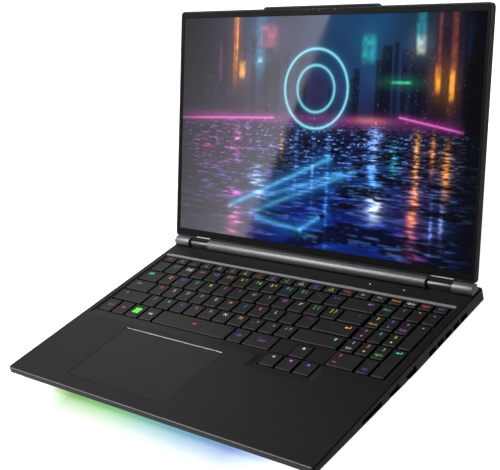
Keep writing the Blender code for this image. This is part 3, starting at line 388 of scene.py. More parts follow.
class LAPTOP_OT_finish_frame(bpy.types.Operator):
    """Gives every CAD piece that shows its own finish"""
    bl_idname = "laptop.finish_frame"
    bl_label = "Finish CAD pieces"

    def execute(self, context):
        chosen = context.scene.laptop_finish
        case = tuple(chosen.case_colour)
        trim = tuple(chosen.trim_colour)
        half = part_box("light_bar")[1].x
        finishes = {
            moulded("Case coating", case, chosen.case_roughness, variation=0.05, gloss=0.02,
                    Specular_IOR_Level=0.3): (
                "top_case", "lid_cover", "power_button"),
            moulded("Lower cover", shade(case, 0.8), 0.62, 1800.0, 0.04 * MM): ("bottom_cover",),
            moulded("Touch surface", tuple(chosen.pad_colour), 0.36, 5200.0, 0.006 * MM, 0.03, 0.008,
                    Specular_IOR_Level=0.3): (
                "touchpad",),
            moulded("Key well", (0.004, 0.004, 0.004), 0.8, 1500.0): ("keyboard_plate",),
            moulded("Bezel ink", (0.0035, 0.0035, 0.004), 0.5, 5000.0, 0.004 * MM, Specular_IOR_Level=0.12): (
                "display_bezel",),
            brushed("Bright strip", trim, 0.5, Metallic=0.3): ("accent_strip",),
            brushed("Pin steel", (0.5, 0.5, 0.52), 0.3): ("hinge_pin_left", "hinge_pin_right"),
            brushed("Socket steel", (0.035, 0.035, 0.037), 0.4, (60.0, 1.0, 60.0)): (
                "card_reader", "usb_a_port_front", "usb_a_port_rear", "hdmi_port", "usb_c_port"),
            moulded("Socket plastic", (0.012, 0.012, 0.012), 0.45): ("dc_jack", "audio_jack"),
            moulded("Foot rubber", (0.012, 0.012, 0.012), 0.85, 900.0, 0.08 * MM): (
                "foot_rear", "foot_front_left", "foot_front_right"),
            brushed("Cooling copper", (0.66, 0.33, 0.19), 0.32, (60.0, 1.0, 60.0)): ("heat_pipes",),
            brushed("Blackened fins", (0.03, 0.029, 0.028), 0.45, (60.0, 1.0, 60.0)): (
                "fin_stack_left", "fin_stack_right"),
            moulded("Fan plastic", (0.014, 0.014, 0.015), 0.5): (
                "fan_housing_left", "fan_housing_right", "fan_rotor_left", "fan_rotor_right"),
            circuit("Board lacquer", (0.01, 0.05, 0.025)): (
                "motherboard", "memory_module", "storage_drive", "camera_module"),
            moulded("Battery wrap", (0.018, 0.018, 0.02), 0.4, 600.0, 0.05 * MM): ("battery_pack",),
            moulded("Speaker shell", (0.02, 0.02, 0.02), 0.55, 900.0): ("speaker_left", "speaker_right"),
            light_diffuser("Light bar", context.scene.laptop_stage.under_glow, half): ("light_bar",),
        }
        for finish, nodes in finishes.items():
            for node in nodes:
                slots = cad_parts[node].data.materials
                slots.clear()
                slots.append(finish)
        return {"FINISHED"}


# ---------------------------------------------------------------- keys

RED, ORANGE, YELLOW = (0.75, 0.09, 0.08), (0.75, 0.33, 0.1), (0.66, 0.62, 0.12)
GREEN, CYAN, BLUE = (0.16, 0.62, 0.12), (0.09, 0.58, 0.52), (0.11, 0.13, 0.62)
PURPLE, MAGENTA, WHITE = (0.36, 0.1, 0.5), (0.55, 0.1, 0.58), (0.75, 0.8, 0.8)
BRIGHT_GREEN = (0.13, 0.85, 0.07)


def row_keys(node, sizes, left=None, right=None):
    """Boxes x0, x1, y0, y1 of a row's keys: sizes share the row's length, less the gaps between them."""
    low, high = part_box(node)
    left = low.x if left is None else left
    right = high.x if right is None else right
    sizes = np.asarray(sizes, float)
    unit = (right - left + KEY_GAP) / sizes.sum()
    ends = left + np.cumsum(sizes) * unit
    return [(end - size * unit, end - KEY_GAP, low.y, high.y) for end, size in zip(ends, sizes)]


def pad_columns():
    """x0, x1 of the number pad's four columns."""
    return [key[:2] for key in row_keys("keys_number_pad", [1] * 4)]


def key_table():
    """For each CAD key node its keys' boxes and their legends.
    A legend is (text or sign, x share, y share, size share, colour): shares run from -1 to 1 over the key."""
    main_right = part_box("key_backspace")[1].x
    top = 0.42
    pair = (-0.26, 0.26)
    table = {}

    def single(words, colours, y=top, size=1.0):
        return [[(word, 0.0, y, size, colour)] for word, colour in zip(words, colours)]

    def double(words, colours):
        return [[(word[0], pair[0], top, 1.0, colour), (word[1], pair[1], top, 0.95, colour)]
                for word, colour in zip(words, colours)]

    function = row_keys("keys_function_row", [1] * 16, right=main_right)
    _, _, y0, y1 = function[0]
    function += [(x0, x1, y0, y1) for x0, x1 in pad_columns()]
    names = (["Esc"] + ["F%d" % i for i in range(1, 13)]
             + ["PrtSc", "Ins", "Del", "Home", "PgUp", "PgDn", "End"])
    signs = ["", "x", "-", "+", "o", "<", ">", "=", "#", "*", "//", "[]", "()", "", "", "", "", "", "", ""]
    colours = [RED, ORANGE, BLUE, GREEN, YELLOW, CYAN, WHITE, RED, PURPLE, GREEN, WHITE, BLUE, YELLOW, RED,
               YELLOW, GREEN, ORANGE, WHITE, RED, BLUE]
    legends = []
    for name, sign, colour in zip(names, signs, colours):
        if sign:
            legends.append([(name, 0.0, -0.3, 0.62, colour), (sign, 0.0, 0.42, 0.55, colour)])
        else:
            legends.append([(name, 0.0, 0.15, 0.62, colour)])
    table["keys_function_row"] = (function, legends)

    table["keys_number_row"] = (row_keys("keys_number_row", [1] * 13), double(
        ["`~", "1!", "2@", "3#", "4$", "5%", "6^", "7&", "8*", "9(", "0)", "-_", "=+"],
        [BLUE, GREEN, WHITE, MAGENTA, BLUE, ORANGE, YELLOW, GREEN, YELLOW, CYAN, GREEN, RED, BLUE]))
    table["key_backspace"] = (row_keys("key_backspace", [1]), [[("sign back", 0.5, top, 1.0, PURPLE)]])

    upper = row_keys("keys_upper_row", [1.5] + [1] * 12 + [1.5])
    table["keys_upper_row"] = (upper, [[("sign tab", -0.36, top, 1.0, CYAN)]] + single(
        "QWERTYUIOP", [ORANGE, BLUE, CYAN, YELLOW, RED, BLUE, CYAN, GREEN, MAGENTA, WHITE]) + double(
        ["[{", "]}"], [GREEN, YELLOW]) + [[("\\", 0.32, top, 1.0, BLUE)]])
    home = row_keys("keys_home_row", [1.75] + [1] * 11)
    table["keys_home_row"] = (home, [[("Caps", -0.42, top, 0.68, GREEN)]] + single(
        "ASDFGHJKL", [RED, WHITE, ORANGE, GREEN, YELLOW, ORANGE, BLUE, RED, YELLOW]) + double(
        [";:", "'\""], [BLUE, PURPLE]))
    table["key_enter"] = (row_keys("key_enter", [1]), [[("sign enter", 0.6, top, 1.0, ORANGE)]])
    lower = row_keys("keys_lower_row", [2.25] + [1] * 10)
    table["keys_lower_row"] = (lower, [[("sign shift", -0.55, top, 0.95, BLUE)]] + single(
        "ZXCVBNM", [PURPLE, CYAN, BLUE, RED, MAGENTA, WHITE, ORANGE]) + double(
        [",<", ".>", "/?"], [CYAN, GREEN, WHITE]))
    table["key_shift_right"] = (row_keys("key_shift_right", [1]), [[("sign shift", 0.66, top, 1.0, CYAN)]])

    low = 0.06
    left_group = row_keys("keys_modifiers_left", [1] * 4)
    table["keys_modifiers_left"] = (left_group, [
        [("Ctrl", 0.0, low, 0.78, RED)], [("Fn", 0.0, low, 0.8, ORANGE)],
        [("sign panes", 0.0, low, 1.9, BRIGHT_GREEN)], [("Alt", 0.0, low, 0.8, WHITE)]])
    table["key_space"] = (row_keys("key_space", [1]), [[("sign dash", 0.02, 0.1, 0.9, RED)]])
    table["keys_modifiers_right"] = (row_keys("keys_modifiers_right", [1.011, 1.747]), [
        [("Alt", 0.0, low, 0.8, BLUE)], [("Ctrl", 0.0, low, 0.85, PURPLE)]])
    for way, colour in (("left", GREEN), ("down", MAGENTA), ("right", BLUE), ("up", YELLOW)):
        table["key_arrow_" + way] = (row_keys("key_arrow_" + way, [1]),
                                     [[("sign " + way, 0.0, 0.5, 0.8, colour)]])

    columns = pad_columns()
    rows = [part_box(node) for node in ("keys_lower_row", "keys_home_row", "keys_upper_row", "keys_number_row")]
    keys, legends = [], []
    words = ((("1", "End", WHITE), ("2", "sign down", ORANGE), ("3", "PgDn", GREEN)),
             (("4", "sign left", MAGENTA), ("5", "", CYAN), ("6", "sign right", YELLOW)),
             (("7", "Home", YELLOW), ("8", "sign up", BLUE), ("9", "PgUp", MAGENTA)),
             (("Num", "", CYAN), ("/", "", YELLOW), ("*", "", ORANGE), ("-", "", WHITE)))
    for (row_low, row_high), line in zip(rows, words):
        for (x0, x1), (word, under, colour) in zip(columns, line):
            keys.append((x0, x1, row_low.y, row_high.y))
            legend = [(word, 0.0, 0.1 if word == "Num" else 0.58, 0.7 if word == "Num" else 0.9, colour)]
            if under:
                legend.append((under, 0.0, -0.38, 0.6, colour))
            legends.append(legend)
    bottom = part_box("key_pad_zero")
    keys.append((*columns[2], bottom[0].y, bottom[1].y))
    legends.append([(".", 0.0, 0.58, 0.9, BLUE), ("Del", 0.0, -0.38, 0.6, BLUE)])
    table["keys_number_pad"] = (keys, legends)
    table["key_pad_zero"] = (row_keys("key_pad_zero", [1]), [[("0", -0.55, 0.58, 0.9, RED),
                                                             ("Ins", -0.55, -0.38, 0.6, RED)]])
    table["key_pad_plus"] = (row_keys("key_pad_plus", [1]), [[("+", 0.0, 0.78, 1.0, GREEN)]])
    table["key_pad_enter"] = (row_keys("key_pad_enter", [1]), [[("sign enter", 0.0, 0.79, 0.9, CYAN)]])
    return table


def add_keycap(skin, key, top, corner, dish):
    """One keycap: rounded outlines stacked from a wide skirt to a rounded shoulder, then drawn in to the
    middle, where the height falls by dish times one less the square of the share of the way out."""
    x0, x1, y0, y1 = key

    def outline(inset):
        return rounded_outline(x0 + inset, x1 - inset, y0 + inset, y1 - inset,
                               max(corner - inset * 0.4, 0.2 * MM))

    walls = [(-1.3, 0.0), (-0.95, 0.02), (-0.32, 0.24), (-0.1, 0.42), (-0.02, 0.62), (0.0, 0.85)]
    loops = levels(outline, [(top + z * MM, inset * MM) for z, inset in walls])
    centre = np.array([(x0 + x1) / 2, (y0 + y1) / 2])
    rim = loops[-1]
    inner = []
    for share in (0.8, 0.55, 0.25):
        flat = centre + (rim[:, :2] - centre) * share
        inner.append(np.column_stack([flat, np.full(len(flat), top - dish * (1 - share ** 2))]))
    skin.add_loops(np.concatenate([loops, np.stack(inner)]))


SIGNS = {
    "left": [[(-0.5, 0.0), (0.3, -0.5), (0.3, 0.5)]],
    "right": [[(0.5, 0.0), (-0.3, 0.5), (-0.3, -0.5)]],
    "up": [[(0.0, 0.5), (-0.5, -0.3), (0.5, -0.3)]],
    "down": [[(0.0, -0.5), (0.5, 0.3), (-0.5, 0.3)]],
    "dash": [[(-0.5, -0.12), (0.5, -0.12), (0.5, 0.12), (-0.5, 0.12)]],
    "back": [[(-0.8, 0.0), (-0.3, -0.35), (-0.3, 0.35)],
             [(-0.3, -0.08), (0.7, -0.08), (0.7, 0.08), (-0.3, 0.08)]],
    "enter": [[(-0.8, -0.1), (-0.3, -0.45), (-0.3, 0.25)],
              [(-0.3, -0.18), (0.6, -0.18), (0.6, -0.02), (-0.3, -0.02)],
              [(0.44, -0.02), (0.6, -0.02), (0.6, 0.45), (0.44, 0.45)]],
    "tab": [[(0.7, 0.2), (0.25, 0.5), (0.25, -0.1)], [(-0.7, 0.13), (0.25, 0.13), (0.25, 0.27), (-0.7, 0.27)],
            [(-0.7, -0.25), (-0.25, -0.55), (-0.25, 0.05)],
            [(-0.25, -0.32), (0.7, -0.32), (0.7, -0.18), (-0.25, -0.18)]],
    "shift": [[(0.0, 0.5), (-0.42, 0.02), (0.42, 0.02)],
              [(-0.1, -0.45), (0.1, -0.45), (0.1, 0.02), (-0.1, 0.02)]],
    "panes": [[(x - 0.22, y - 0.22), (x + 0.22, y - 0.22), (x + 0.22, y + 0.22), (x - 0.22, y + 0.22)]
              for x in (-0.26, 0.26) for y in (-0.26, 0.26)],
}
CAP_SHARE = 0.73                     # height of the built-in font's capitals, as a share of its size
LEGEND_THICKNESS = 0.02 * MM
_lettering = {}


def sign_shape(name):
    """A sign's flat outlines raised to a thin slab, in units of its height."""
    points, faces, start = [], [], 0
    for outline in SIGNS[name]:
        count = len(outline)
        for height in (-1.0, 1.0):
            points += [(x, y, height) for x, y in outline]
        faces += (start + grid_faces(2, count, closed=True)).tolist()
        faces.append(tuple(start + i for i in range(count - 1, -1, -1)))
        faces.append(tuple(start + count + i for i in range(count)))
        start += 2 * count
    return np.array(points, float), faces


def word_shape(word):
    """A word in the built-in font as a thin slab, its capitals one unit high, centred on its own box."""
    curve = bpy.data.curves.new("legend", "FONT")
    curve.body = word
    curve.size = 1.0 / CAP_SHARE
    curve.resolution_u = 2
    curve.extrude = 1.0
    curve.offset = -0.022
    holder = bpy.data.objects.new("legend", curve)
    bpy.context.scene.collection.objects.link(holder)
    mesh = bpy.data.meshes.new_from_object(holder)
    points = np.zeros(len(mesh.vertices) * 3)
    mesh.vertices.foreach_get("co", points)
    points = points.reshape(-1, 3)
    faces = [tuple(face.vertices) for face in mesh.polygons]
    bpy.data.objects.remove(holder)
    bpy.data.curves.remove(curve)
    bpy.data.meshes.remove(mesh)
    points[:, 0] -= (points[:, 0].min() + points[:, 0].max()) / 2
    points[:, 1] -= 0.5
    return points, faces


def legend_shape(text):
    if text not in _lettering:
        _lettering[text] = sign_shape(text[5:]) if text.startswith("sign ") else word_shape(text)
    return _lettering[text]


def add_legend(skin, key, legend, top, height):
    """One legend laid on a keycap: its shape scaled to the letter height and moved to its place there."""
    text, x_share, y_share, size, colour = legend
    x0, x1, y0, y1 = key
    points, faces = legend_shape(text)
    x = (x0 + x1) / 2 + x_share * (x1 - x0) / 2
    y = (y0 + y1) / 2 + y_share * (y1 - y0) / 2
    scaled = points * (height * size, height * size, LEGEND_THICKNESS / 2) + (x, y, top)
    skin.add(scaled, faces, colour)


class LAPTOP_OT_add_keys(bpy.types.Operator):
    """Makes the keycaps and the lit legends of every group of keys that moves together"""
    bl_idname = "laptop.add_keys"
    bl_label = "Add keys"

    def execute(self, context):
        chosen = context.scene.laptop_keys
        cap_finish = moulded("Keycap plastic", tuple(chosen.key_colour), 0.5, 4200.0, 0.012 * MM, 0.06)
        light_finish = glowing("Key lighting", chosen.glow)
        for node, (keys, legends) in key_table().items():
            if len(keys) != len(legends):
                raise ValueError(f"{node} has {len(keys)} keys and {len(legends)} legends")
            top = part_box(node)[1].z
            caps, lights = Skin(), Skin()
            for key, marks in zip(keys, legends):
                add_keycap(caps, key, top, chosen.corner, chosen.dish)
                if marks[0][0] in ("F", "J", "5"):
                    x, y = (key[0] + key[1]) / 2, key[2] + 2.6 * MM
                    wide, tall = 2.0 * MM, 0.35 * MM
                    caps.add_loops(levels(
                        lambda inset: rounded_outline(x - wide + inset, x + wide - inset, y - tall + inset,
                                                      y + tall - inset, 0.2 * MM),
                        [(top - 0.15 * MM, 0.0), (top + 0.08 * MM, 0.0), (top + 0.14 * MM, 0.1 * MM)]))
                for mark in marks:
                    add_legend(lights, key, mark, top - 0.02 * MM, chosen.letter_height)
            stem = node.replace("keys_", "").replace("key_", "")
            caps.piece("keycaps_" + stem, node, cap_finish, "key", replaces=(node,), sharp=50.0)
            lights.piece("legends_" + stem, node, light_finish, "light")
        return {"FINISHED"}


# ---------------------------------------------------------------- screen

def night_street(u, v, seed):
    """Linear red, green and blue of an invented wet street at night, over u across and v down, both 0 to 1.
    Over the horizon, dark towers with lit windows stand in haze between soft upright signs. Under it every
    sign is mirrored as a streak that ripples break up, and ripple size follows one over the depth. A plain
    double ring of light hangs over the street."""
    chance = np.random.default_rng(seed)
    horizon = 0.445
    picture = np.zeros(u.shape + (3,))
    table = chance.random((128, 128))

    def noise(a, b):
        """Value noise: random heights at whole numbers, blended with an S-curve between them."""
        i, j = np.floor(a).astype(int), np.floor(b).astype(int)
        s, t = a - i, b - j
        s, t = s * s * (3 - 2 * s), t * t * (3 - 2 * t)
        i, j, k, m = i % 128, j % 128, (i + 1) % 128, (j + 1) % 128
        near, far = (table[row, i] * (1 - s) + table[row, k] * s for row in (j, m))
        return near * (1 - t) + far * t

    def spot(cu, cv, su, sv, power=2.0):
        return np.exp(-(np.abs((u - cu) / su) ** power + np.abs((v - cv) / sv) ** power))

    def over(mask, low, high=1.0):
        return np.clip((mask - low) / (high - low), 0, 1)

    def glow(colour, mask):
        picture[...] += mask[..., None] * np.array(colour)

    def veil(mask, amount):
        picture[...] *= (1 - np.clip(mask, 0, 1) * amount)[..., None]

    # Sky, towers and haze.
    above = (v < horizon) * 1.0
    cloud = noise(u * 7, v * 6) * 0.6 + noise(u * 19 + 40, v * 17) * 0.4
    speck = noise(u * 150, v * 100 + 30)
    glow((0.006, 0.009, 0.022), above)
    glow((0.004, 0.06, 0.17), spot(0.62, 0.0, 0.17, 0.2, 2.4) * (0.6 + 0.6 * cloud))
    glow((0.012, 0.05, 0.11), spot(0.32, 0.07, 0.09, 0.18) * (0.4 + cloud))
    glow((0.005, 0.02, 0.09), spot(0.7, 0.28, 0.19, 0.15) * (0.3 + cloud))
    glow((0.03, 0.012, 0.06), spot(0.36, 0.33, 0.22, 0.12) * (0.3 + cloud))
    for _ in range(46):
        cu, half = chance.uniform(0, 1), chance.uniform(0.006, 0.022)
        top = chance.uniform(0.03, 0.2) + 0.55 * max(0, 0.28 - abs(cu - 0.56))
        tower = over(1.25 - np.abs(u - cu) / half, 0, 0.25) * (v > top) * above
        veil(tower, chance.uniform(0.4, 0.8))
        glow((0.002, 0.003, 0.014), tower * cloud)
        window = (noise(u * 330, v * 150 + cu * 60) > 0.86) * (speck > 0.5)
        tone = ((0.4, 0.14, 0.05), (0.06, 0.18, 0.34), (0.3, 0.05, 0.16))[chance.integers(3)]
        glow(tone, tower * window * chance.uniform(0.1, 0.7))
    veil(spot(0.03, 0.2, 0.12, 0.5, 4), 0.75)
    glow((0.16, 0.014, 0.13), spot(0.17, horizon, 0.27, 0.022) * (0.3 + cloud))
    glow((0.13, 0.02, 0.12), spot(0.64, horizon, 0.33, 0.03) * (0.3 + cloud))
    glow((0.45, 0.12, 0.06), spot(0.68, 0.435, 0.05, 0.014))
    glow((0.5, 0.25, 0.4), over(speck, 0.9) * spot(0.5, horizon, 0.5, 0.025) * 1.4)

    # Signs: place across and down, half width, half height, colour.
    signs = (
        (0.207, 0.09, 0.008, 0.19, (0.42, 0.1, 0.01)), (0.213, 0.07, 0.003, 0.13, (0.8, 0.28, 0.04)),
        (0.234, 0.235, 0.011, 0.036, (1.0, 0.45, 0.08)), (0.3, 0.19, 0.008, 0.012, (0.4, 0.8, 0.9)),
        (0.3, 0.12, 0.018, 0.14, (0.01, 0.12, 0.19)), (0.33, 0.085, 0.03, 0.05, (0.36, 0.05, 0.06)),
        (0.15, 0.2, 0.005, 0.09, (0.12, 0.02, 0.09)), (0.668, 0.14, 0.022, 0.055, (0.02, 0.3, 0.3)),
        (0.824, 0.125, 0.013, 0.035, (0.5, 0.52, 0.42)), (0.822, 0.06, 0.014, 0.08, (0.01, 0.2, 0.26)),
        (0.77, 0.275, 0.027, 0.005, (0.06, 0.7, 0.34)), (0.876, 0.26, 0.008, 0.05, (0.95, 0.34, 0.02)),
        (0.877, 0.1, 0.005, 0.2, (0.16, 0.03, 0.02)), (0.916, 0.28, 0.007, 0.06, (0.95, 0.36, 0.03)),
        (0.918, 0.14, 0.008, 0.16, (0.2, 0.04, 0.015)), (0.965, 0.1, 0.01, 0.07, (0.01, 0.05, 0.18)),
    )
    for cu, cv, su, sv, colour in signs:
        glow(colour, spot(cu, cv, su, sv, 5.0) * (0.35 + 0.9 * noise(u * 90, v * 60)) * above)
        glow(colour, spot(cu, cv, su * 2.0 + 0.01, sv * 1.2 + 0.02) * 0.12 * above)
    veil(spot(1.0, 0.3, 0.05, 0.6, 4), 0.85)

    # Wet street: ripples in the ground's own plane, so they shrink towards the horizon.
    depth = np.clip((v - horizon) / (1 - horizon), 0, 1)
    wet = over(depth, 0.0, 0.05)
    far = 1 / (depth + 0.16)
    across, along = (u - 0.5) * far, far * 9.0
    ripple = noise(across * 20 + 60, along * 6.0) * 0.6 + noise(across * 55 + 20, along * 14.0) * 0.4
    crest = over(ripple, 0.56, 0.8)
    trough = over(0.46 - ripple, 0.0, 0.16) * (1 - 0.75 * over(depth, 0.4, 0.9))
    ground = noise(across * 7 + 30, along * 1.3) * 0.65 + noise(across * 19, along * 3.6) * 0.35
    pool = spot(0.58, 0.85, 0.3, 0.3, 3.0)
    glow((0.002, 0.005, 0.016), wet)
    calm = over(depth, 0.35, 0.8)
    glow((0.002, 0.016, 0.22), wet * pool * (0.2 + 0.9 * ground) * (0.6 + 0.8 * calm))
    glow((0.02, 0.13, 0.62), wet * crest * (0.1 + 0.9 * pool) * (1 - 0.6 * calm))
    glow((0.3, 0.45, 0.85), wet * over(ripple, 0.68, 0.86) * (spot(0.56, 0.54, 0.32, 0.12) + 0.1))
    glow((0.3, 0.02, 0.22), wet * crest * spot(0.14, 0.57, 0.15, 0.09) * 1.3)
    glow((0.1, 0.04, 0.2), wet * crest * spot(0.2, 0.75, 0.25, 0.3))

    # Streaks: place across and down, half width, half height, colour.
    streaks = (
        (0.22, 0.56, 0.016, 0.06, (0.55, 0.1, 0.4)), (0.22, 0.93, 0.02, 0.1, (0.6, 0.14, 0.26)),
        (0.1, 0.58, 0.012, 0.022, (0.6, 0.03, 0.45)), (0.21, 0.8, 0.03, 0.03, (0.5, 0.06, 0.5)),
        (0.3, 0.74, 0.02, 0.08, (0.3, 0.5, 0.85)), (0.39, 0.57, 0.005, 0.05, (0.7, 0.4, 0.12)),
        (0.7, 0.52, 0.014, 0.09, (0.25, 0.4, 0.9)), (0.71, 0.79, 0.017, 0.045, (0.9, 1.0, 1.1)),
        (0.695, 0.68, 0.012, 0.12, (0.1, 0.4, 1.0)), (0.828, 0.6, 0.006, 0.12, (1.1, 0.45, 0.05)),
        (0.822, 0.8, 0.012, 0.1, (1.0, 0.28, 0.03)), (0.825, 0.95, 0.018, 0.06, (0.55, 0.06, 0.2)),
        (0.872, 0.55, 0.005, 0.06, (1.0, 0.32, 0.03)), (0.914, 0.62, 0.009, 0.08, (1.1, 0.42, 0.04)),
        (0.878, 0.85, 0.004, 0.09, (0.15, 0.25, 0.75)), (0.908, 0.82, 0.005, 0.07, (0.25, 0.35, 0.9)),
        (0.76, 0.6, 0.01, 0.06, (0.02, 0.25, 0.3)), (0.55, 0.75, 0.005, 0.2, (0.05, 0.25, 0.8)),
        (0.5, 0.66, 0.004, 0.1, (0.1, 0.3, 0.8)), (0.44, 0.62, 0.006, 0.12, (0.08, 0.25, 0.7)),
    )
    broken = 0.25 + 1.1 * over(ripple, 0.35, 0.7)
    for cu, cv, su, sv, colour in streaks:
        jitter = (noise(u * 3 + cu * 50, v * 120) - 0.5) * su * 1.3
        line = np.exp(-(((u - cu + jitter) / su) ** 2 + ((v - cv) / sv) ** 2))
        glow(colour, wet * line * broken)
        glow(colour, wet * spot(cu, cv, su * 3.5, sv * 1.2) * broken * 0.07)
    dry = over(ground, 0.58, 0.64) * wet * over(depth, 0.02, 0.2)
    for cu, cv, su, sv in ((0.66, 0.74, 0.08, 0.025), (0.6, 0.8, 0.06, 0.014), (0.78, 0.93, 0.13, 0.035),
                           (0.33, 0.87, 0.08, 0.025), (0.08, 0.88, 0.12, 0.04)):
        ragged = spot(cu, cv, su, sv) + (noise(u * 42, v * 75) - 0.5) * 0.7
        dry = np.maximum(dry, over(ragged, 0.4, 0.5) * wet)
    veil(dry, 0.9)
    veil(trough * wet, 0.85)
    glow((0.06, 0.14, 0.34), dry * over(ripple, 0.6, 0.8) * 0.6)

    def line(u0, v0, u1, v1, width):
        """Closeness to a straight line between two points."""
        du, dv = (u1 - u0) * ASPECT, v1 - v0
        length = math.hypot(du, dv)
        along = (((u - u0) * ASPECT) * du + (v - v0) * dv) / length ** 2
        off = (((u - u0) * ASPECT) * dv - (v - v0) * du) / length
        ends = np.clip((along + 0.02) * 40, 0, 1) * np.clip((1.02 - along) * 40, 0, 1)
        return np.exp(-(off / width) ** 2) * ends

    for ends in ((0.0, 0.465, 0.355, 0.443), (0.77, 0.415, 0.955, 0.462)):
        glow((0.75, 0.2, 0.6), line(*ends, 0.0032))
        glow((0.5, 0.02, 0.3), line(*ends, 0.014) * 0.35)
    distance = np.hypot((u - 0.5) * ASPECT, v - 0.31)
    for radius, strength in ((0.17, 1.0), (0.1, 0.85)):
        glow((0.3, 0.8, 0.9), np.exp(-((distance - radius) / 0.0052) ** 2) * strength)
        glow((0.01, 0.22, 0.34), np.exp(-np.abs(distance - radius) / 0.014) * 0.5 * strength)
    for ends, strength in (((0.2, 0.86, 0.56, 0.6), 0.8), ((0.28, 0.88, 0.64, 0.65), 0.5),
                           ((0.33, 0.8, 0.6, 0.66), 0.5), ((0.3, 0.9, 0.47, 0.93), 0.6),
                           ((0.46, 0.93, 0.53, 0.86), 0.7)):
        glow((0.12, 0.5, 0.8), line(*ends, 0.009) * strength * (0.4 + 0.7 * ripple))
        glow((0.01, 0.16, 0.4), line(*ends, 0.035) * strength * 0.5)
    veil(over(0.1 - u, 0.0, 0.12), 0.75)
    veil(over(u, 0.92, 0.97), 0.8)
    return np.clip(picture, 0, 2)


class LAPTOP_OT_add_display(bpy.types.Operator):
    """Makes the glass screen with its lit picture"""
    bl_idname = "laptop.add_display"
    bl_label = "Add screen"

    def execute(self, context):
        chosen = context.scene.laptop_display
        columns = int((SCREEN_RIGHT - SCREEN_LEFT) / chosen.step) + 1
        rows = int((SCREEN_HIGH - SCREEN_LOW) / chosen.step) + 1
        u, v = np.meshgrid(np.linspace(0, 1, columns), np.linspace(0, 1, rows))
        colours = night_street(u, v, chosen.seed)
        x = SCREEN_LEFT + (SCREEN_RIGHT - SCREEN_LEFT) * u
        up = SCREEN_HIGH - (SCREEN_HIGH - SCREEN_LOW) * v
        skin = Skin()
        front = on_lid(np.stack([x, up, np.full(u.shape, SCREEN_FACE)], axis=-1))
        depth = 1.6 * MM
        edge = np.concatenate([np.arange(columns), np.arange(1, rows) * columns + columns - 1,
                               (rows - 1) * columns + np.arange(columns - 2, -1, -1),
                               np.arange(rows - 2, 0, -1) * columns])
        back = front.reshape(-1, 3)[edge] - on_lid([0, 0, depth]) + on_lid([0, 0, 0])
        faces = np.flip(grid_faces(rows, columns), axis=1).tolist()
        count, start = len(edge), rows * columns
        after = np.roll(np.arange(count), -1)
        faces += np.stack([edge, edge[after], start + after, start + np.arange(count)], axis=-1).tolist()
        faces.append(list(range(start, start + count)))
        tint = np.concatenate([colours.reshape(-1, 3), np.zeros((count, 3))])
        skin.add(np.concatenate([front.reshape(-1, 3), back]), faces, tint)
        made = skin.piece("screen_glass", "lid", screen_glass("Screen glass", chosen.brightness), "glass",
                          replaces=("display_panel",))
        made.visible_diffuse = made.visible_glossy = False
        return {"FINISHED"}


class LAPTOP_OT_add_bezel_details(bpy.types.Operator):
    """Makes the camera, its lamps, the microphone and the soft edge round the bezel"""
    bl_idname = "laptop.add_bezel_details"
    bl_label = "Add bezel details"

    def execute(self, context):
        lenses = Skin()
        for x, radius in ((-13.2, 0.9), (-6.2, 0.8), (0.4, 1.0), (18.6, 1.1), (-25.0, 0.35), (25.0, 0.35)):
            stack = [(0.0, 1.0), (0.1, 1.0), (0.14, 0.86), (0.06, 0.7), (0.1, 0.35)]
            loops = []
            for height, share in stack:
                flat = ring(radius * share * MM, 20, (x * MM, 234.3 * MM))
                loops.append(np.column_stack([flat, np.full(20, BEZEL_FACE + height * MM)]))
            lenses.add_loops(on_lid(np.stack(loops)))
        glass = moulded("Lens glass", (0.03, 0.028, 0.034), 0.12, 4000.0, 0.002 * MM)
        lenses.piece("camera_lenses", "lid", glass, "glass")

        gasket = Skin()
        outline = rounded_outline(-175.9 * MM, 175.9 * MM, 7.1 * MM, 235.2 * MM, 3.0 * MM, 6)
        loops = bead(outline, 0.35 * MM, 0.22 * MM, 8) + (0.0, 0.0, BEZEL_FACE)
        gasket.add(on_lid(loops), grid_faces(9, len(outline), closed=True))
        rubber = moulded("Gasket rubber", (0.03, 0.03, 0.031), 0.42, 2500.0)
        gasket.piece("bezel_gasket", "lid", rubber, "rubber", sharp=60.0)
        return {"FINISHED"}


# ---------------------------------------------------------------- hinge

NECK_HIGH, NECK_LOW = 1.65 * MM, -2.85 * MM
KNUCKLE_CLEAR = 3.75 * MM            # inner radius of the cover over a knuckle


def arc_points(start, end, count, radius):
    """Points on a circle round the axis: radius times (cos, sin) of evenly spaced angles."""
    angles = np.linspace(start, end, count)
    return np.stack([np.cos(angles), np.sin(angles)], axis=-1) * radius


def barrel_section(reach):
    """The barrel's section in the lid frame: a circle that opens into a neck towards the lid's lower edge."""
    start = math.asin(NECK_HIGH / BARREL_RADIUS)
    end = 2 * math.pi + math.asin(NECK_LOW / BARREL_RADIUS)
    arc = arc_points(start, end, 72, BARREL_RADIUS)
    return np.concatenate([arc, [(reach, NECK_LOW), (reach, NECK_HIGH)]])


def slot_section():
    """The cover over a knuckle, in the lid frame, painted near black as the shade in the slot: a shell between
    two arcs behind the knuckle, which ends in the same neck as the barrel's. It clears the knuckle by half a
    millimetre."""
    end = -math.radians(60)
    inner = arc_points(math.radians(20), end, 17, KNUCKLE_CLEAR)
    outer = arc_points(end, math.asin(NECK_LOW / BARREL_RADIUS), 8, BARREL_RADIUS)
    reach, high = 6.6 * MM, 1.6 * MM
    neck = np.array([(reach, NECK_LOW), (reach, high), (3.7 * MM, high)])
    return np.concatenate([inner, outer, neck])


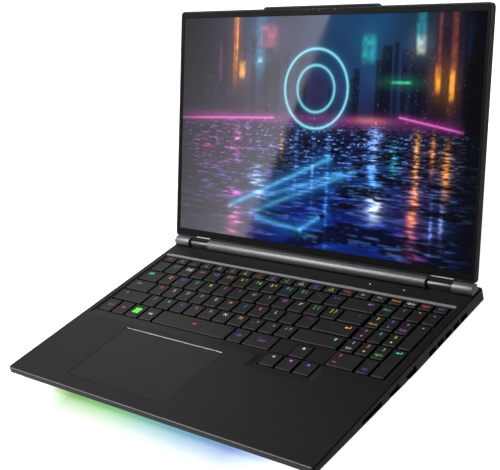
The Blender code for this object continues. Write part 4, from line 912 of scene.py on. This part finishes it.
def swept(section, radius, left, right, rounding):
    """A section carried along x. Near its ends it is drawn in along a quarter circle of the rounding's
    size: at an angle t the loop stands rounding times (1 - sin t) from the end, and is drawn in by
    rounding times (1 - cos t)."""
    turns = np.linspace(math.pi / 2, 0, 5)
    places = left + rounding * (1 - np.sin(turns))
    shares = 1 - rounding * (1 - np.cos(turns)) / radius
    places = np.concatenate([places, left + right - places[::-1]])
    shares = np.concatenate([shares, shares[::-1]])
    return np.stack([np.column_stack([np.full(len(section), x), section * share])
                     for x, share in zip(places, shares)])


class LAPTOP_OT_add_hinge(bpy.types.Operator):
    """Makes the hinge barrels, the knuckles, the covers behind them painted near black as shade, and the
    polished plates
    """
    bl_idname = "laptop.add_hinge"
    bl_label = "Add hinge"

    def execute(self, context):
        colour = tuple(context.scene.laptop_finish.barrel_colour)
        satin = moulded("Hinge satin", colour, 0.47, 2600.0, 0.003 * MM, 0.04, 0.01, Metallic=0.75)
        knuckle = moulded("Knuckle satin", (0.13, 0.13, 0.133), 0.36, 2600.0, 0.003 * MM, 0.04, 0.01,
                          Metallic=0.8)
        reach = 5.55 * MM
        for node in ("hinge_barrel_left", "hinge_barrel_centre", "hinge_barrel_right"):
            low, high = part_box(node)
            skin = Skin()
            skin.add_loops(on_lid(swept(barrel_section(reach), BARREL_RADIUS, low.x, high.x, 0.5 * MM)))
            name = node.replace("hinge_barrel", "barrel_sleeve")
            skin.piece(name, "lid", satin, "barrel", replaces=(node,))
        for word in ("left", "right"):
            low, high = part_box("hinge_knuckle_" + word)
            radius = high.z - AXIS.z
            foot = low.z - AXIS.z
            section = np.concatenate([arc_points(0, math.pi, 37, radius), [(-radius, foot), (radius, foot)]])
            loops = swept(section, radius, low.x, high.x, 0.4 * MM) + (0.0, AXIS.y, AXIS.z)
            skin = Skin()
            skin.add_loops(loops)
            skin.piece("knuckle_" + word, "base", knuckle, "case", replaces=("hinge_knuckle_" + word,))
        cover = Skin()
        for word in ("left", "right"):
            low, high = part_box("hinge_knuckle_" + word)
            section = slot_section()
            cover.add_loops(on_lid([np.column_stack([np.full(len(section), x), section])
                                    for x in (low.x + 0.1 * MM, high.x - 0.1 * MM)]))
        # near-black covers: painted shadow in the slot behind each knuckle
        cover.piece("knuckle_shadow_covers", "lid", moulded("Slot painted shadow", (0.002, 0.002, 0.002), 0.7), "case")

        plates = Skin()
        for x0, x1 in ((-147.0, -128.0), (134.0, 156.0)):
            plates.add_loops(on_lid(levels(lambda inset: rounded_outline(
                x0 * MM + inset, x1 * MM - inset, 6.7 * MM + inset, 7.7 * MM - inset, 0.3 * MM),
                [(1.6 * MM, 0.0), (2.1 * MM, 0.0), (2.25 * MM, 0.15 * MM)])))
        polished = moulded("Polished plate", (0.75, 0.75, 0.76), 0.3, 2600.0, 0.003 * MM, 0.04, Metallic=0.2)
        plates.piece("hinge_plates", "lid", polished, "silver")
        return {"FINISHED"}


# ---------------------------------------------------------------- deck details

class LAPTOP_OT_add_deck_details(bpy.types.Operator):
    """Makes the perforated band, the touchpad's edge line, the front edge's line (a polished chamfer whose
    light grey also paints the highlight it catches), and the power button's details
    """
    bl_idname = "laptop.add_deck_details"
    bl_label = "Add deck details"

    def execute(self, context):
        trim = tuple(context.scene.laptop_finish.trim_colour)
        pitch, rows, sides, clearance = 1.65 * MM, 10, 6, 1.4 * MM
        x, row = np.meshgrid(np.arange(-171.0 * MM, 171.5 * MM, pitch), np.arange(rows))
        x = (x + (row % 2) * pitch / 2).ravel()
        y = (214.9 * MM + row * pitch * 0.866).ravel()
        button_low, button_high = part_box("power_button")
        under = ((x > button_low.x - clearance) & (x < button_high.x + clearance)
                 & (y + DECK_FRONT > button_low.y - clearance) & (y + DECK_FRONT < button_high.y + clearance))
        x, y = x[~under], y[~under]
        hole = ring(0.52 * MM, sides)
        points = np.stack([np.stack([x[:, None] + hole[:, 0], y[:, None] + hole[:, 1],
                                     np.full((len(x), sides), z)], axis=-1)
                           for z in (-0.05 * MM, 0.015 * MM)], axis=1)
        start = np.arange(len(x))[:, None, None] * 2 * sides
        walls = (start + grid_faces(2, sides, closed=True)).reshape(-1, 4).tolist()
        lids = (start[:, 0] + np.arange(sides, 2 * sides)).tolist()
        bottoms = (start[:, 0] + np.arange(sides - 1, -1, -1)).tolist()
        skin = Skin()
        skin.add(on_deck(points), walls + lids + bottoms)
        skin.piece("deck_perforations", "base", moulded("Hole shadow", SHADOW, 0.9), "plastic")

        low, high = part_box("touchpad")
        edge = Skin()
        x0, x1, y0 = low.x + 0.6 * MM, high.x - 0.6 * MM, high.y + 0.1 * MM
        edge.add_loops(levels(
            lambda inset: rounded_outline(x0 + inset, x1 - inset, y0 + inset, y0 + 0.85 * MM - inset,
                                          0.3 * MM),
            [(DECK_TOP - 0.5 * MM, 0.0), (DECK_TOP + 0.02 * MM, 0.0), (DECK_TOP + 0.1 * MM, 0.12 * MM)]))
        bright = moulded("Touchpad edge", shade(trim, 1.5), 0.35, Metallic=0.6)
        edge.piece("touchpad_edge", "base", bright, "silver")

        # light grey strip along the front chamfer: a polished edge, and also a painted highlight where the
        # chamfer catches the light
        line = Skin()
        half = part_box("top_case")[1].x - 2.2 * MM
        section = [(-0.82, -0.60), (-0.42, -0.20), (-0.46, -0.16), (-0.86, -0.56)]
        line.add_loops(on_deck([[(x, y * MM, z * MM) for y, z in section] for x in (-half, half)]))
        highlight_grey = moulded("Front edge highlight", (0.26, 0.26, 0.265), 0.4, Metallic=0.3)
        line.piece("front_edge_highlight_line", "base", highlight_grey, "silver")

        outline = [rounded_outline(button_low.x - grow, button_high.x + grow, button_low.y - grow,
                                   button_high.y + grow, (button_high.y - button_low.y) / 2 + grow, 6)
                   for grow in (0.09 * MM, 0.45 * MM)]
        walls = [np.column_stack([outline[way], np.full(len(outline[way]), DECK_TOP + z * MM)])
                 for way, z in ((0, -0.1), (1, -0.1), (1, 0.02), (0, 0.02), (0, -0.1))]
        gap = Skin()
        gap.add(np.stack(walls), grid_faces(5, len(outline[0]), closed=True))
        gap.piece("power_button_seam", "base", moulded("Seam shadow", SHADOW, 0.9), "plastic")

        lamps = Skin()
        y = (button_low.y + button_high.y) / 2
        for x in (button_low.x + 2.6 * MM, button_high.x - 2.6 * MM):
            flat = ring(0.55 * MM, 12, (x, y))
            lamps.add_loops(np.stack([np.column_stack([flat, np.full(12, button_high.z + z)])
                                      for z in (-0.1 * MM, 0.03 * MM)]), (0.8, 0.85, 0.9))
        lamps.piece("power_lamps", "power_button", glowing("Power lamps", 1.2), "light")
        return {"FINISHED"}


class LAPTOP_OT_add_port_details(bpy.types.Operator):
    """Makes the contact tongues inside the side sockets"""
    bl_idname = "laptop.add_port_details"
    bl_label = "Add socket details"

    def execute(self, context):
        tongues = Skin()
        layout = (("usb_a_port_front", 0.8, 0.26, 0.16, 8.0), ("usb_a_port_rear", 0.8, 0.26, 0.16, 8.0),
                  ("hdmi_port", 0.7, 0.2, -0.05, 7.0), ("usb_c_port", 0.7, 0.28, 0.0, 6.0))
        for node, wide, tall, lift, length in layout:
            low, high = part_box(node)
            side = 1 if high.x > 0 else -1
            mouth = high.x if side > 0 else low.x
            centre = (low + high) / 2
            wide = (high.y - low.y - 1.0 * MM) * wide / 2
            tall = (high.z - low.z - 1.0 * MM) * tall / 2
            z = centre.z + (high.z - low.z) * lift
            ends = sorted((mouth - side * 1.2 * MM, mouth - side * (1.2 * MM + length * MM)))
            section = rounded_outline(centre.y - wide, centre.y + wide, z - tall, z + tall,
                                      min(tall, wide) * 0.5)
            tongues.add_loops(np.stack([np.column_stack([np.full(len(section), x), section]) for x in ends]))
        plastic = moulded("Tongue plastic", (0.02, 0.02, 0.022), 0.4)
        tongues.piece("socket_tongues", "base", plastic, "plastic")
        return {"FINISHED"}


class LAPTOP_OT_add_underside(bpy.types.Operator):
    """Makes the screws and the raised frames round the air intakes under the base"""
    bl_idname = "laptop.add_underside"
    bl_label = "Add underside details"

    def execute(self, context):
        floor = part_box("bottom_cover")[0].z
        profile, sides = [(0.3, 2.6), (-0.22, 2.6), (-0.32, 2.4), (-0.32, 1.3), (0.1, 1.1)], 24
        screws = Skin()
        for x, front in ((-158.0, 34.0), (-60.0, 40.0), (60.0, 40.0), (158.0, 34.0)):
            for y in (front, 128.0, 232.0):
                loops = []
                for height, radius in profile:
                    flat = ring(radius * MM, sides, (x * MM, y * MM + DECK_FRONT))[::-1]
                    loops.append(np.column_stack([flat, np.full(sides, floor + height * MM)]))
                screws.add_loops(np.stack(loops))
        screws.piece("cover_screws", "base", brushed("Screw steel", (0.16, 0.16, 0.165), 0.35), "steel")

        ribs = Skin()
        for side in (-1, 1):
            fan = middle("fan_rotor_left" if side < 0 else "fan_rotor_right")
            for grow in (0.0, 3.2 * MM):
                half_x, half_y = 29.0 * MM + grow, 21.0 * MM + grow
                outline = rounded_outline(fan.x - half_x, fan.x + half_x, fan.y - half_y, fan.y + half_y,
                                          5.0 * MM + grow, 6)
                loops = bead(outline, 0.45 * MM, 0.28 * MM, 6) + (0.0, 0.0, floor)
                ribs.add(loops, grid_faces(7, len(outline), closed=True))
        plastic = moulded("Frame plastic", (0.014, 0.014, 0.015), 0.5)
        ribs.piece("intake_frames", "base", plastic, "cover", sharp=60.0)
        return {"FINISHED"}


# ---------------------------------------------------------------- stage

CAMERA_AT = (595.4 * MM, -566.5 * MM, 475.9 * MM)
CAMERA_AZIMUTH, CAMERA_ELEVATION, CAMERA_ROLL = 46.28, 25.50, -15.36
CAMERA_LENS = 74.8


def camera_axes():
    """Right, up and back of a camera at the azimuth and elevation, rolled about its view."""
    a, e, r = (math.radians(x) for x in (CAMERA_AZIMUTH, CAMERA_ELEVATION, CAMERA_ROLL))
    forward = Vector((-math.sin(a) * math.cos(e), math.cos(a) * math.cos(e), -math.sin(e)))
    level = Vector((math.cos(a), math.sin(a), 0.0))
    upright = level.cross(forward)
    right = level * math.cos(r) + upright * math.sin(r)
    up = upright * math.cos(r) - level * math.sin(r)
    return right, up, -forward


def add_light(name, place, target, size, power, colour=(1.0, 1.0, 1.0), across=None):
    """A soft rectangular light at a place, turned to a target; across sets the way its long side runs."""
    data = bpy.data.lights.new(name, "AREA")
    data.shape = "RECTANGLE"
    data.size, data.size_y = size
    data.energy = power
    data.color = colour
    lamp = bpy.data.objects.new(name, data)
    back = (Vector(place) - Vector(target)).normalized()
    side = Vector(across) if across is not None else Vector((0, 0, 1)).cross(back)
    side = (side - back * side.dot(back)).normalized()
    turn = Matrix((side, back.cross(side), back)).transposed().to_4x4()
    lamp.matrix_world = Matrix.Translation(Vector(place)) @ turn
    lamp.visible_camera = False
    bpy.context.scene.collection.objects.link(lamp)
    return lamp


def fade_across(lamp):
    """Fades a rectangular light over its short side: the fourth power of what is left of the way."""
    lamp.data.use_nodes = True
    tree = lamp.data.node_tree
    place = tree.nodes.new("ShaderNodeNewGeometry")
    split = tree.nodes.new("ShaderNodeSeparateXYZ")
    left = tree.nodes.new("ShaderNodeMath")
    left.operation = "SUBTRACT"
    left.inputs[0].default_value = 1.0
    fade = tree.nodes.new("ShaderNodeMath")
    fade.operation = "POWER"
    fade.inputs[1].default_value = 4.0
    tree.links.new(place.outputs["Parametric"], split.inputs["Vector"])
    tree.links.new(split.outputs["Y"], left.inputs[1])
    tree.links.new(left.outputs["Value"], fade.inputs[0])
    tree.links.new(fade.outputs["Value"], tree.nodes["Emission"].inputs["Strength"])


def mirrored_sight(u, v, distance):
    """Where the camera's sight of a screen point goes after the glass mirrors it, a distance further on."""
    x = SCREEN_LEFT + (SCREEN_RIGHT - SCREEN_LEFT) * u
    up = SCREEN_HIGH - (SCREEN_HIGH - SCREEN_LOW) * v
    point = Vector(on_lid([x, up, SCREEN_FACE]))
    normal = Vector(on_lid([0, 0, 1])) - Vector(on_lid([0, 0, 0]))
    ray = (point - Vector(CAMERA_AT)).normalized()
    return point + (ray - 2 * ray.dot(normal) * normal) * distance


def studio_surroundings(strength):
    """White where the camera looks past everything; otherwise dim, with a soft bright patch behind on the
    left, and under the horizon the paler floor that gloss mirrors: brightest in front on the left."""
    world = bpy.data.worlds.new("Studio")
    world.use_nodes = True
    tree = world.node_tree
    nodes, links = tree.nodes, tree.links
    background = nodes["Background"]
    background.inputs["Color"].default_value = (1.0, 1.0, 1.0, 1.0)
    place = nodes.new("ShaderNodeTexCoord")

    def patch(direction, start, low, high):
        """Brightness from low to high, by how closely a direction is met."""
        closeness = nodes.new("ShaderNodeVectorMath")
        closeness.operation = "DOT_PRODUCT"
        closeness.inputs[1].default_value = Vector(direction).normalized()
        spread = nodes.new("ShaderNodeMapRange")
        spread.interpolation_type = "SMOOTHSTEP"
        for socket, value in zip(("From Min", "From Max", "To Min", "To Max"),
                                 (start, 1.0, low * strength, high * strength)):
            spread.inputs[socket].default_value = value
        links.new(place.outputs["Generated"], closeness.inputs[0])
        links.new(closeness.outputs["Value"], spread.inputs["Value"])
        return spread.outputs["Result"]

    def total(one, other):
        both = nodes.new("ShaderNodeMath")
        both.operation = "ADD"
        links.new(one, both.inputs[0])
        links.new(other, both.inputs[1])
        return both.outputs["Value"]

    height = nodes.new("ShaderNodeSeparateXYZ")
    links.new(place.outputs["Generated"], height.inputs["Vector"])
    under = nodes.new("ShaderNodeMapRange")
    for socket, value in zip(("From Min", "From Max", "To Min", "To Max"), (0.0, -0.05, 0.0, 1.0)):
        under.inputs[socket].default_value = value
    links.new(height.outputs["Z"], under.inputs["Value"])
    floor = nodes.new("ShaderNodeMath")
    floor.operation = "MULTIPLY"
    front, rear = patch((-0.545, -0.773, -0.327), 0.4, 0.0, 3.4), patch((0.545, 0.77, -0.33), 0.3, 0.0, 1.2)
    links.new(total(front, rear), floor.inputs[0])
    links.new(under.outputs["Result"], floor.inputs[1])
    links.new(total(patch((-0.92, 0.3, 0.28), 0.55, 0.1, 1.25), floor.outputs["Value"]),
              background.inputs["Strength"])
    path = nodes.new("ShaderNodeLightPath")
    pale = nodes.new("ShaderNodeBackground")
    pale.inputs["Color"].default_value = (1.0, 1.0, 1.0, 1.0)
    mix = nodes.new("ShaderNodeMixShader")
    links.new(path.outputs["Is Camera Ray"], mix.inputs["Fac"])
    links.new(background.outputs["Background"], mix.inputs[1])
    links.new(pale.outputs["Background"], mix.inputs[2])
    links.new(mix.outputs["Shader"], nodes["World Output"].inputs["Surface"])
    return world


def floor_finish(name, colour, own_light):
    """Pale floor that is faintly lit from below. In front of the base a painted pool of the light bar's glow
    tints
    its colour and its own light: across x the painted glow runs through the bar's colours, and along y it fades
    with the distance from the base."""
    made = Finish(name, colour, 0.8, Specular_IOR_Level=0.1, Emission_Strength=own_light)
    split = made.node("SeparateXYZ")
    made.link(made.coordinates(), split.inputs["Vector"])
    # painted light: the light bar's glow laid into the floor's colour and own light as a pool in front of the
    # base
    ramp = made.node("ValToRGB")
    painted_glow_stops = ((-134, (1.0, 1.0, 1.0)), (-118, (0.5, 0.62, 0.44)), (-98, (0.21, 0.35, 0.15)),
                  (-40, (0.21, 0.37, 0.2)), (0, (0.19, 0.34, 0.34)), (45, (0.17, 0.3, 0.39)),
                  (90, (0.2, 0.3, 0.45)), (118, (0.5, 0.6, 0.75)), (142, (1.0, 1.0, 1.0)))
    first, last = painted_glow_stops[0][0], painted_glow_stops[-1][0]
    for _ in painted_glow_stops[2:]:
        ramp.color_ramp.elements.new(0.5)
    for element, (x, tint) in zip(ramp.color_ramp.elements, painted_glow_stops):
        element.position, element.color = (x - first) / (last - first), (*tint, 1.0)
    made.link(made.spread(split.outputs["X"], 0.0, 1.0, first * MM, last * MM), ramp.inputs["Fac"])
    reach = made.spread(split.outputs["Y"], 0.0, 1.0, DECK_FRONT - 54 * MM, DECK_FRONT + 4 * MM)
    curve = made.node("Math")
    curve.operation = "POWER"
    curve.inputs[1].default_value = 1.6
    made.link(reach, curve.inputs[0])
    behind = made.spread(split.outputs["Y"], 1.0, 0.0, DECK_FRONT + 30 * MM, DECK_FRONT + 60 * MM)
    share = made.node("Math")
    share.operation = "MULTIPLY"
    made.link(curve.outputs["Value"], share.inputs[0])
    made.link(behind, share.inputs[1])
    mix = made.node("Mix")
    mix.data_type = "RGBA"
    mix.inputs["A"].default_value = (1.0, 1.0, 1.0, 1.0)
    made.link(share.outputs["Value"], mix.inputs["Factor"])
    made.link(ramp.outputs["Color"], mix.inputs["B"])
    painted_glow_mix = made.node("Mix")
    painted_glow_mix.data_type = "RGBA"
    painted_glow_mix.blend_type = "MULTIPLY"
    painted_glow_mix.inputs["Factor"].default_value = 1.0
    painted_glow_mix.inputs["A"].default_value = (*colour, 1.0)
    made.link(mix.outputs["Result"], painted_glow_mix.inputs["B"])
    made.link(painted_glow_mix.outputs["Result"], made.shader.inputs["Base Color"])
    made.link(painted_glow_mix.outputs["Result"], made.shader.inputs["Emission Color"])
    return made.material


class LAPTOP_OT_set_stage(bpy.types.Operator):
    """Sets the floor, the soft lights, the surrounding light and the camera"""
    bl_idname = "laptop.set_stage"
    bl_label = "Set stage"

    def execute(self, context):
        chosen = context.scene.laptop_stage
        scene = context.scene
        steps = 48
        flat = ring(6.0, steps)
        mesh = bpy.data.meshes.new("floor")
        mesh.from_pydata(np.column_stack([flat, np.zeros(steps)]).tolist(), [], [tuple(range(steps))])
        floor = bpy.data.objects.new("floor", mesh)
        scene.collection.objects.link(floor)
        # the floor carries a painted pool of the light bar's glow in front of the base
        mesh.materials.append(floor_finish("Pale floor with painted glow", tuple(chosen.floor_colour), 1.16))
        floor.visible_glossy = False

        scene.world = studio_surroundings(chosen.sky_light)
        add_light("Key", (-1.1, -0.62, 1.54), (0, 0, 0), (1.0, 1.0), chosen.soft_light)
        add_light("Back left", (-1.6, 1.4, 0.9), (0, 0, 0.05), (1.2, 1.2), chosen.soft_light * 0.045)

        top = mirrored_sight(0.533, 0.0, 1.6)
        low = mirrored_sight(0.26, 1.0, 1.6)
        along = (top - low).normalized()
        target = middle("display_bezel")
        back = ((top + low) / 2 - target).normalized()
        outward = along.cross(back)
        if outward.x > 0:
            outward = -outward
        width = 1.0
        centre = (top + low) / 2 + outward * width / 2
        fade_across(add_light("Front left", centre, centre - back, (2.2, width), chosen.soft_light * 0.85,
                              (0.95, 0.9, 1.0), across=along))

        camera_data = bpy.data.cameras.new("Camera")
        camera_data.lens = CAMERA_LENS
        camera_data.clip_start, camera_data.clip_end = 0.01, 30.0
        camera = bpy.data.objects.new("Camera", camera_data)
        right, up, back = camera_axes()
        camera.matrix_world = Matrix.Translation(Vector(CAMERA_AT)) @ Matrix(
            (right, up, back)).transposed().to_4x4()
        scene.collection.objects.link(camera)
        scene.camera = camera
        scene.view_settings.view_transform = "Standard"
        return {"FINISHED"}


# ---------------------------------------------------------------- panel and running

OPERATORS = (LAPTOP_OT_finish_frame, LAPTOP_OT_add_keys, LAPTOP_OT_add_display, LAPTOP_OT_add_bezel_details,
             LAPTOP_OT_add_hinge, LAPTOP_OT_add_deck_details, LAPTOP_OT_add_port_details,
             LAPTOP_OT_add_underside, LAPTOP_OT_set_stage)


class LAPTOP_PT_panel(bpy.types.Panel):
    """The laptop's settings, and a button for each group of pieces"""
    bl_idname = "LAPTOP_PT_panel"
    bl_label = "Laptop Computer"
    bl_space_type = "VIEW_3D"
    bl_region_type = "UI"
    bl_category = "Laptop"

    def draw(self, context):
        for setting, group in SETTINGS:
            box = self.layout.box()
            for name in group.__annotations__:
                box.prop(getattr(context.scene, setting), name)
        for operator in OPERATORS:
            self.layout.operator(operator.bl_idname)


CLASSES = tuple(group for _, group in SETTINGS) + OPERATORS + (LAPTOP_PT_panel,)


def register():
    for kind in CLASSES:
        bpy.utils.register_class(kind)
    for setting, group in SETTINGS:
        setattr(bpy.types.Scene, setting, PointerProperty(type=group))


def unregister():
    for setting, _ in SETTINGS:
        delattr(bpy.types.Scene, setting)
    for kind in reversed(CLASSES):
        bpy.utils.unregister_class(kind)


def main():
    """Registers the add-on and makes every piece."""
    register()
    for operator in OPERATORS:
        group, name = operator.bl_idname.split(".")
        getattr(getattr(bpy.ops, group), name)()


if __name__ == "__main__":
    main()
